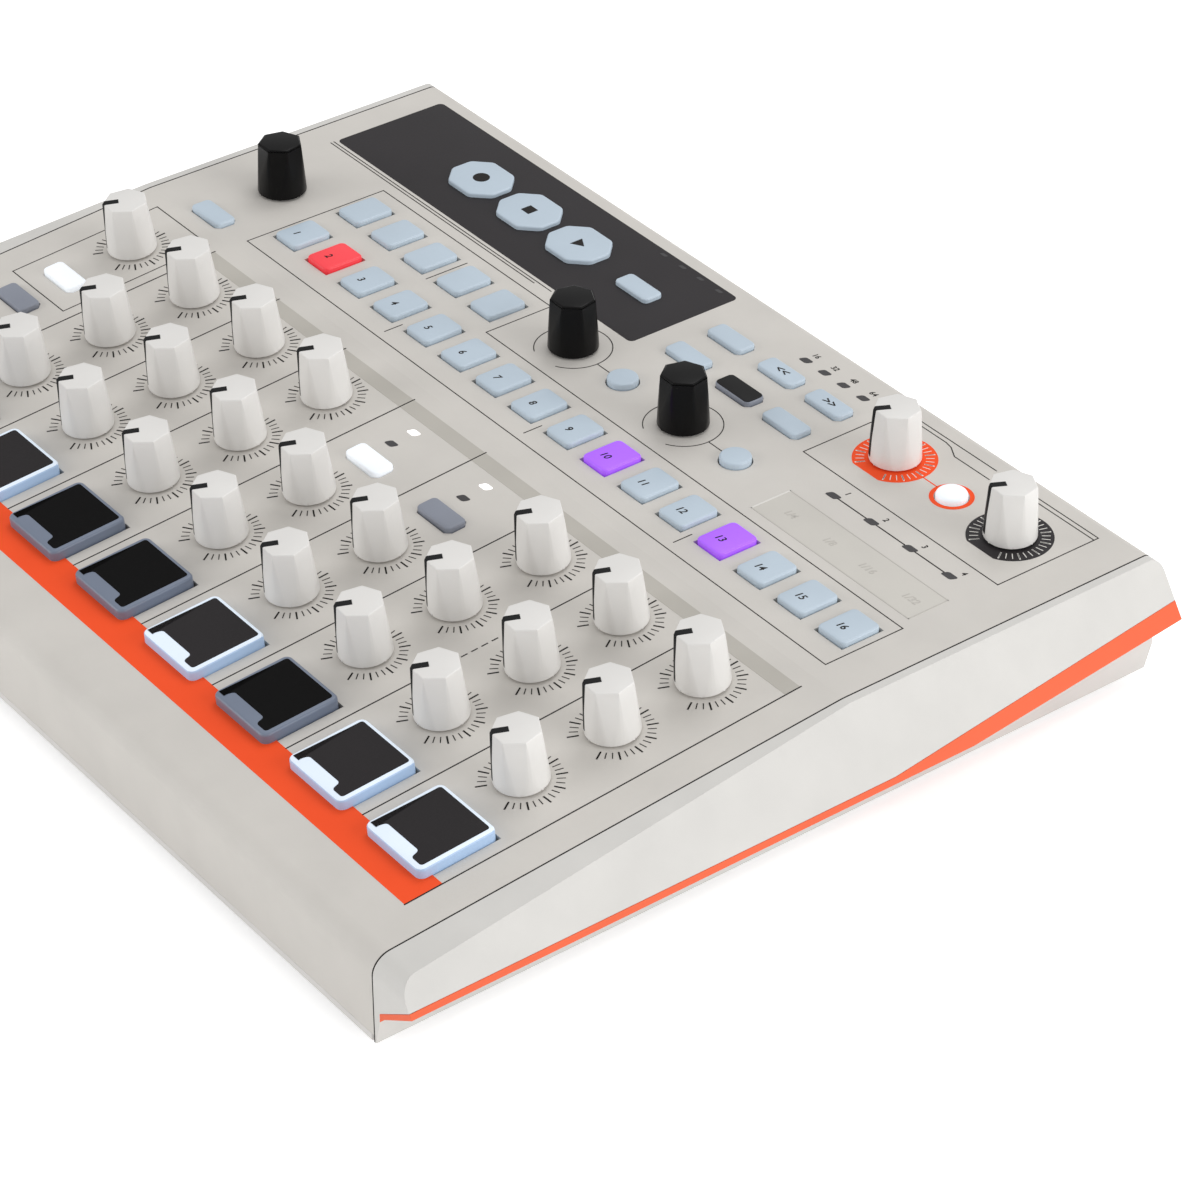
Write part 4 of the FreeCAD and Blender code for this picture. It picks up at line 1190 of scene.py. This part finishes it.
class DRUM_OT_strip(bpy.types.Operator):
    """Lay the touch strip's film with its edges, painted as shade on the front, right and rear and as a
    highlight on the left, and its fractions
    """
    bl_idname = "drum.strip"
    bl_label = "Touch strip"

    def execute(self, context):
        ink = sizes().printing
        film = rounded_block("strip_film", STRIP_WIDTH, STRIP_LENGTH, -0.3 * MM, STRIP_ABOVE, 0.4 * MM,
                             0.1 * MM)
        film.data.transform(at(*STRIP_PLACE))
        paint(film, FINISHES["strip"])
        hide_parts("touch_strip")
        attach(film, "case")
        edge = 0.25 * MM
        left = STRIP_PLACE[0] - STRIP_WIDTH / 2 + edge
        right = STRIP_PLACE[0] + STRIP_WIDTH / 2 - edge
        front = STRIP_PLACE[1] - STRIP_LENGTH / 2 + edge
        back = STRIP_PLACE[1] + STRIP_LENGTH / 2 - edge
        # Painted shade: faint darker lines along the film's front, right and rear edges, standing in for the
        # shading of the strip's edge.
        rim = Printing("strip_rim_shade")
        rim.path([(left, front), (right, front), (right, back), (left, back)], ink.fine)
        rim.finish(ENCODER_ROW, FINISHES["faint"], above=STRIP_ABOVE)
        # Painted highlight: a light line along the film's left edge.
        glint = Printing("strip_glint")
        glint.line((left, front), (left, back), 0.5 * MM)
        glint.finish(ENCODER_ROW, FINISHES["glint"], above=STRIP_ABOVE)
        fractions = {"1/4": 80.1, "1/8": 94.4, "1/16": 108.2, "1/32": 123.7}
        marks = [(text, x * MM, 141 * MM, ink.digit) for text, x in fractions.items()]
        lettering("strip_fractions", marks, ENCODER_ROW, FINISHES["faint"], above=STRIP_ABOVE)
        return {"FINISHED"}


FLOOR_SIDE = 12
CAMERA_PLACE = Vector((0.7187, -0.4916, 0.6060))
CAMERA_LOOKS = Vector((-0.64828, 0.49497, -0.57857))
CAMERA_LENS = 127.94


class DRUM_OT_stage(bpy.types.Operator):
    """Pale floor, soft studio light and the camera"""
    bl_idname = "drum.stage"
    bl_label = "Stage"

    def execute(self, context):
        deselect()
        bpy.ops.mesh.primitive_plane_add(size=FLOOR_SIDE)
        floor = bpy.context.object
        floor.name = "floor"
        paint(floor, floor_finish())
        studio_light()
        studio_camera()
        return {"FINISHED"}


def floor_finish():
    """White paper that stays white to the camera and keeps the shadow."""
    material = bpy.data.materials.new("floor_paper")
    material.use_nodes = True
    tree = material.node_tree
    links = tree.links
    tree.nodes.clear()
    output = add_node(tree, "OutputMaterial")
    paper = add_node(tree, "BsdfDiffuse", Color=(0.93, 0.93, 0.93, 1))
    bright = add_node(tree, "Emission", Color=(1, 1, 1, 1), Strength=0.48)
    both = add_node(tree, "AddShader")
    links.new(paper.outputs["BSDF"], both.inputs[0])
    links.new(bright.outputs["Emission"], both.inputs[1])
    path = add_node(tree, "LightPath")
    seen = add_node(tree, "Math")
    seen.operation = "MAXIMUM"
    links.new(path.outputs["Is Camera Ray"], seen.inputs[0])
    links.new(path.outputs["Is Glossy Ray"], seen.inputs[1])
    mix = add_node(tree, "MixShader")
    links.new(seen.outputs["Value"], mix.inputs["Fac"])
    links.new(paper.outputs["BSDF"], mix.inputs[1])
    links.new(both.outputs["Shader"], mix.inputs[2])
    links.new(mix.outputs["Shader"], output.inputs["Surface"])
    return material


def studio_light():
    world = bpy.context.scene.world or bpy.data.worlds.new("studio")
    bpy.context.scene.world = world
    world.use_nodes = True
    background = world.node_tree.nodes["Background"]
    background.inputs["Color"].default_value = (1, 1, 1, 1)
    background.inputs["Strength"].default_value = 0.57
    lamps = [
        ("key_lamp", (-0.3, 0.7, 1.4), 0.8, 5.3),
        ("side_lamp", (1.5, 0.7, 0.5), 1.2, 15.0),
        ("front_lamp", (-0.9, -1.6, 0.5), 1.2, 11.5),
    ]
    for name, place, side, power in lamps:
        deselect()
        bpy.ops.object.light_add(type="AREA", location=place)
        lamp = bpy.context.object
        lamp.name = name
        lamp.data.size = side
        lamp.data.energy = power
        lamp.rotation_euler = (-Vector(place)).to_track_quat("-Z", "Y").to_euler()


def studio_camera():
    deselect()
    bpy.ops.object.camera_add(location=CAMERA_PLACE,
                              rotation=CAMERA_LOOKS.to_track_quat("-Z", "Y").to_euler())
    camera = bpy.context.object
    camera.data.sensor_width = 36
    camera.data.lens = CAMERA_LENS
    camera.data.clip_start = 0.05
    bpy.context.scene.camera = camera
    bpy.context.scene.view_settings.view_transform = "Standard"


class DRUM_PT_panel(bpy.types.Panel):
    """The machine's pieces in the sidebar"""
    bl_idname = "DRUM_PT_panel"
    bl_label = "Drum machine"
    bl_space_type = "VIEW_3D"
    bl_region_type = "UI"
    bl_category = "Drum machine"

    def draw(self, context):
        for operator in OPERATORS:
            self.layout.operator(operator.bl_idname)


GROUPS = (PanelSizes, KnobSizes, PadSizes, KeySizes, PrintSizes, Colours, DrumMachine)
OPERATORS = (
    DRUM_OT_case, DRUM_OT_knobs, DRUM_OT_encoders, DRUM_OT_pads, DRUM_OT_step_keys, DRUM_OT_small_keys,
    DRUM_OT_round_keys, DRUM_OT_transport, DRUM_OT_dials, DRUM_OT_front_print, DRUM_OT_rear_print,
    DRUM_OT_lamps, DRUM_OT_digits, DRUM_OT_strip, DRUM_OT_stage,
)


def register():
    for item in GROUPS + OPERATORS + (DRUM_PT_panel,):
        bpy.utils.register_class(item)
    bpy.types.Scene.drum_machine = PointerProperty(type=DrumMachine)


def unregister():
    del bpy.types.Scene.drum_machine
    for item in reversed(GROUPS + OPERATORS + (DRUM_PT_panel,)):
        bpy.utils.unregister_class(item)


def main():
    register()
    for operator in OPERATORS:
        group, name = operator.bl_idname.split(".")
        getattr(getattr(bpy.ops, group), name)()


if __name__ == "__main__":
    main()
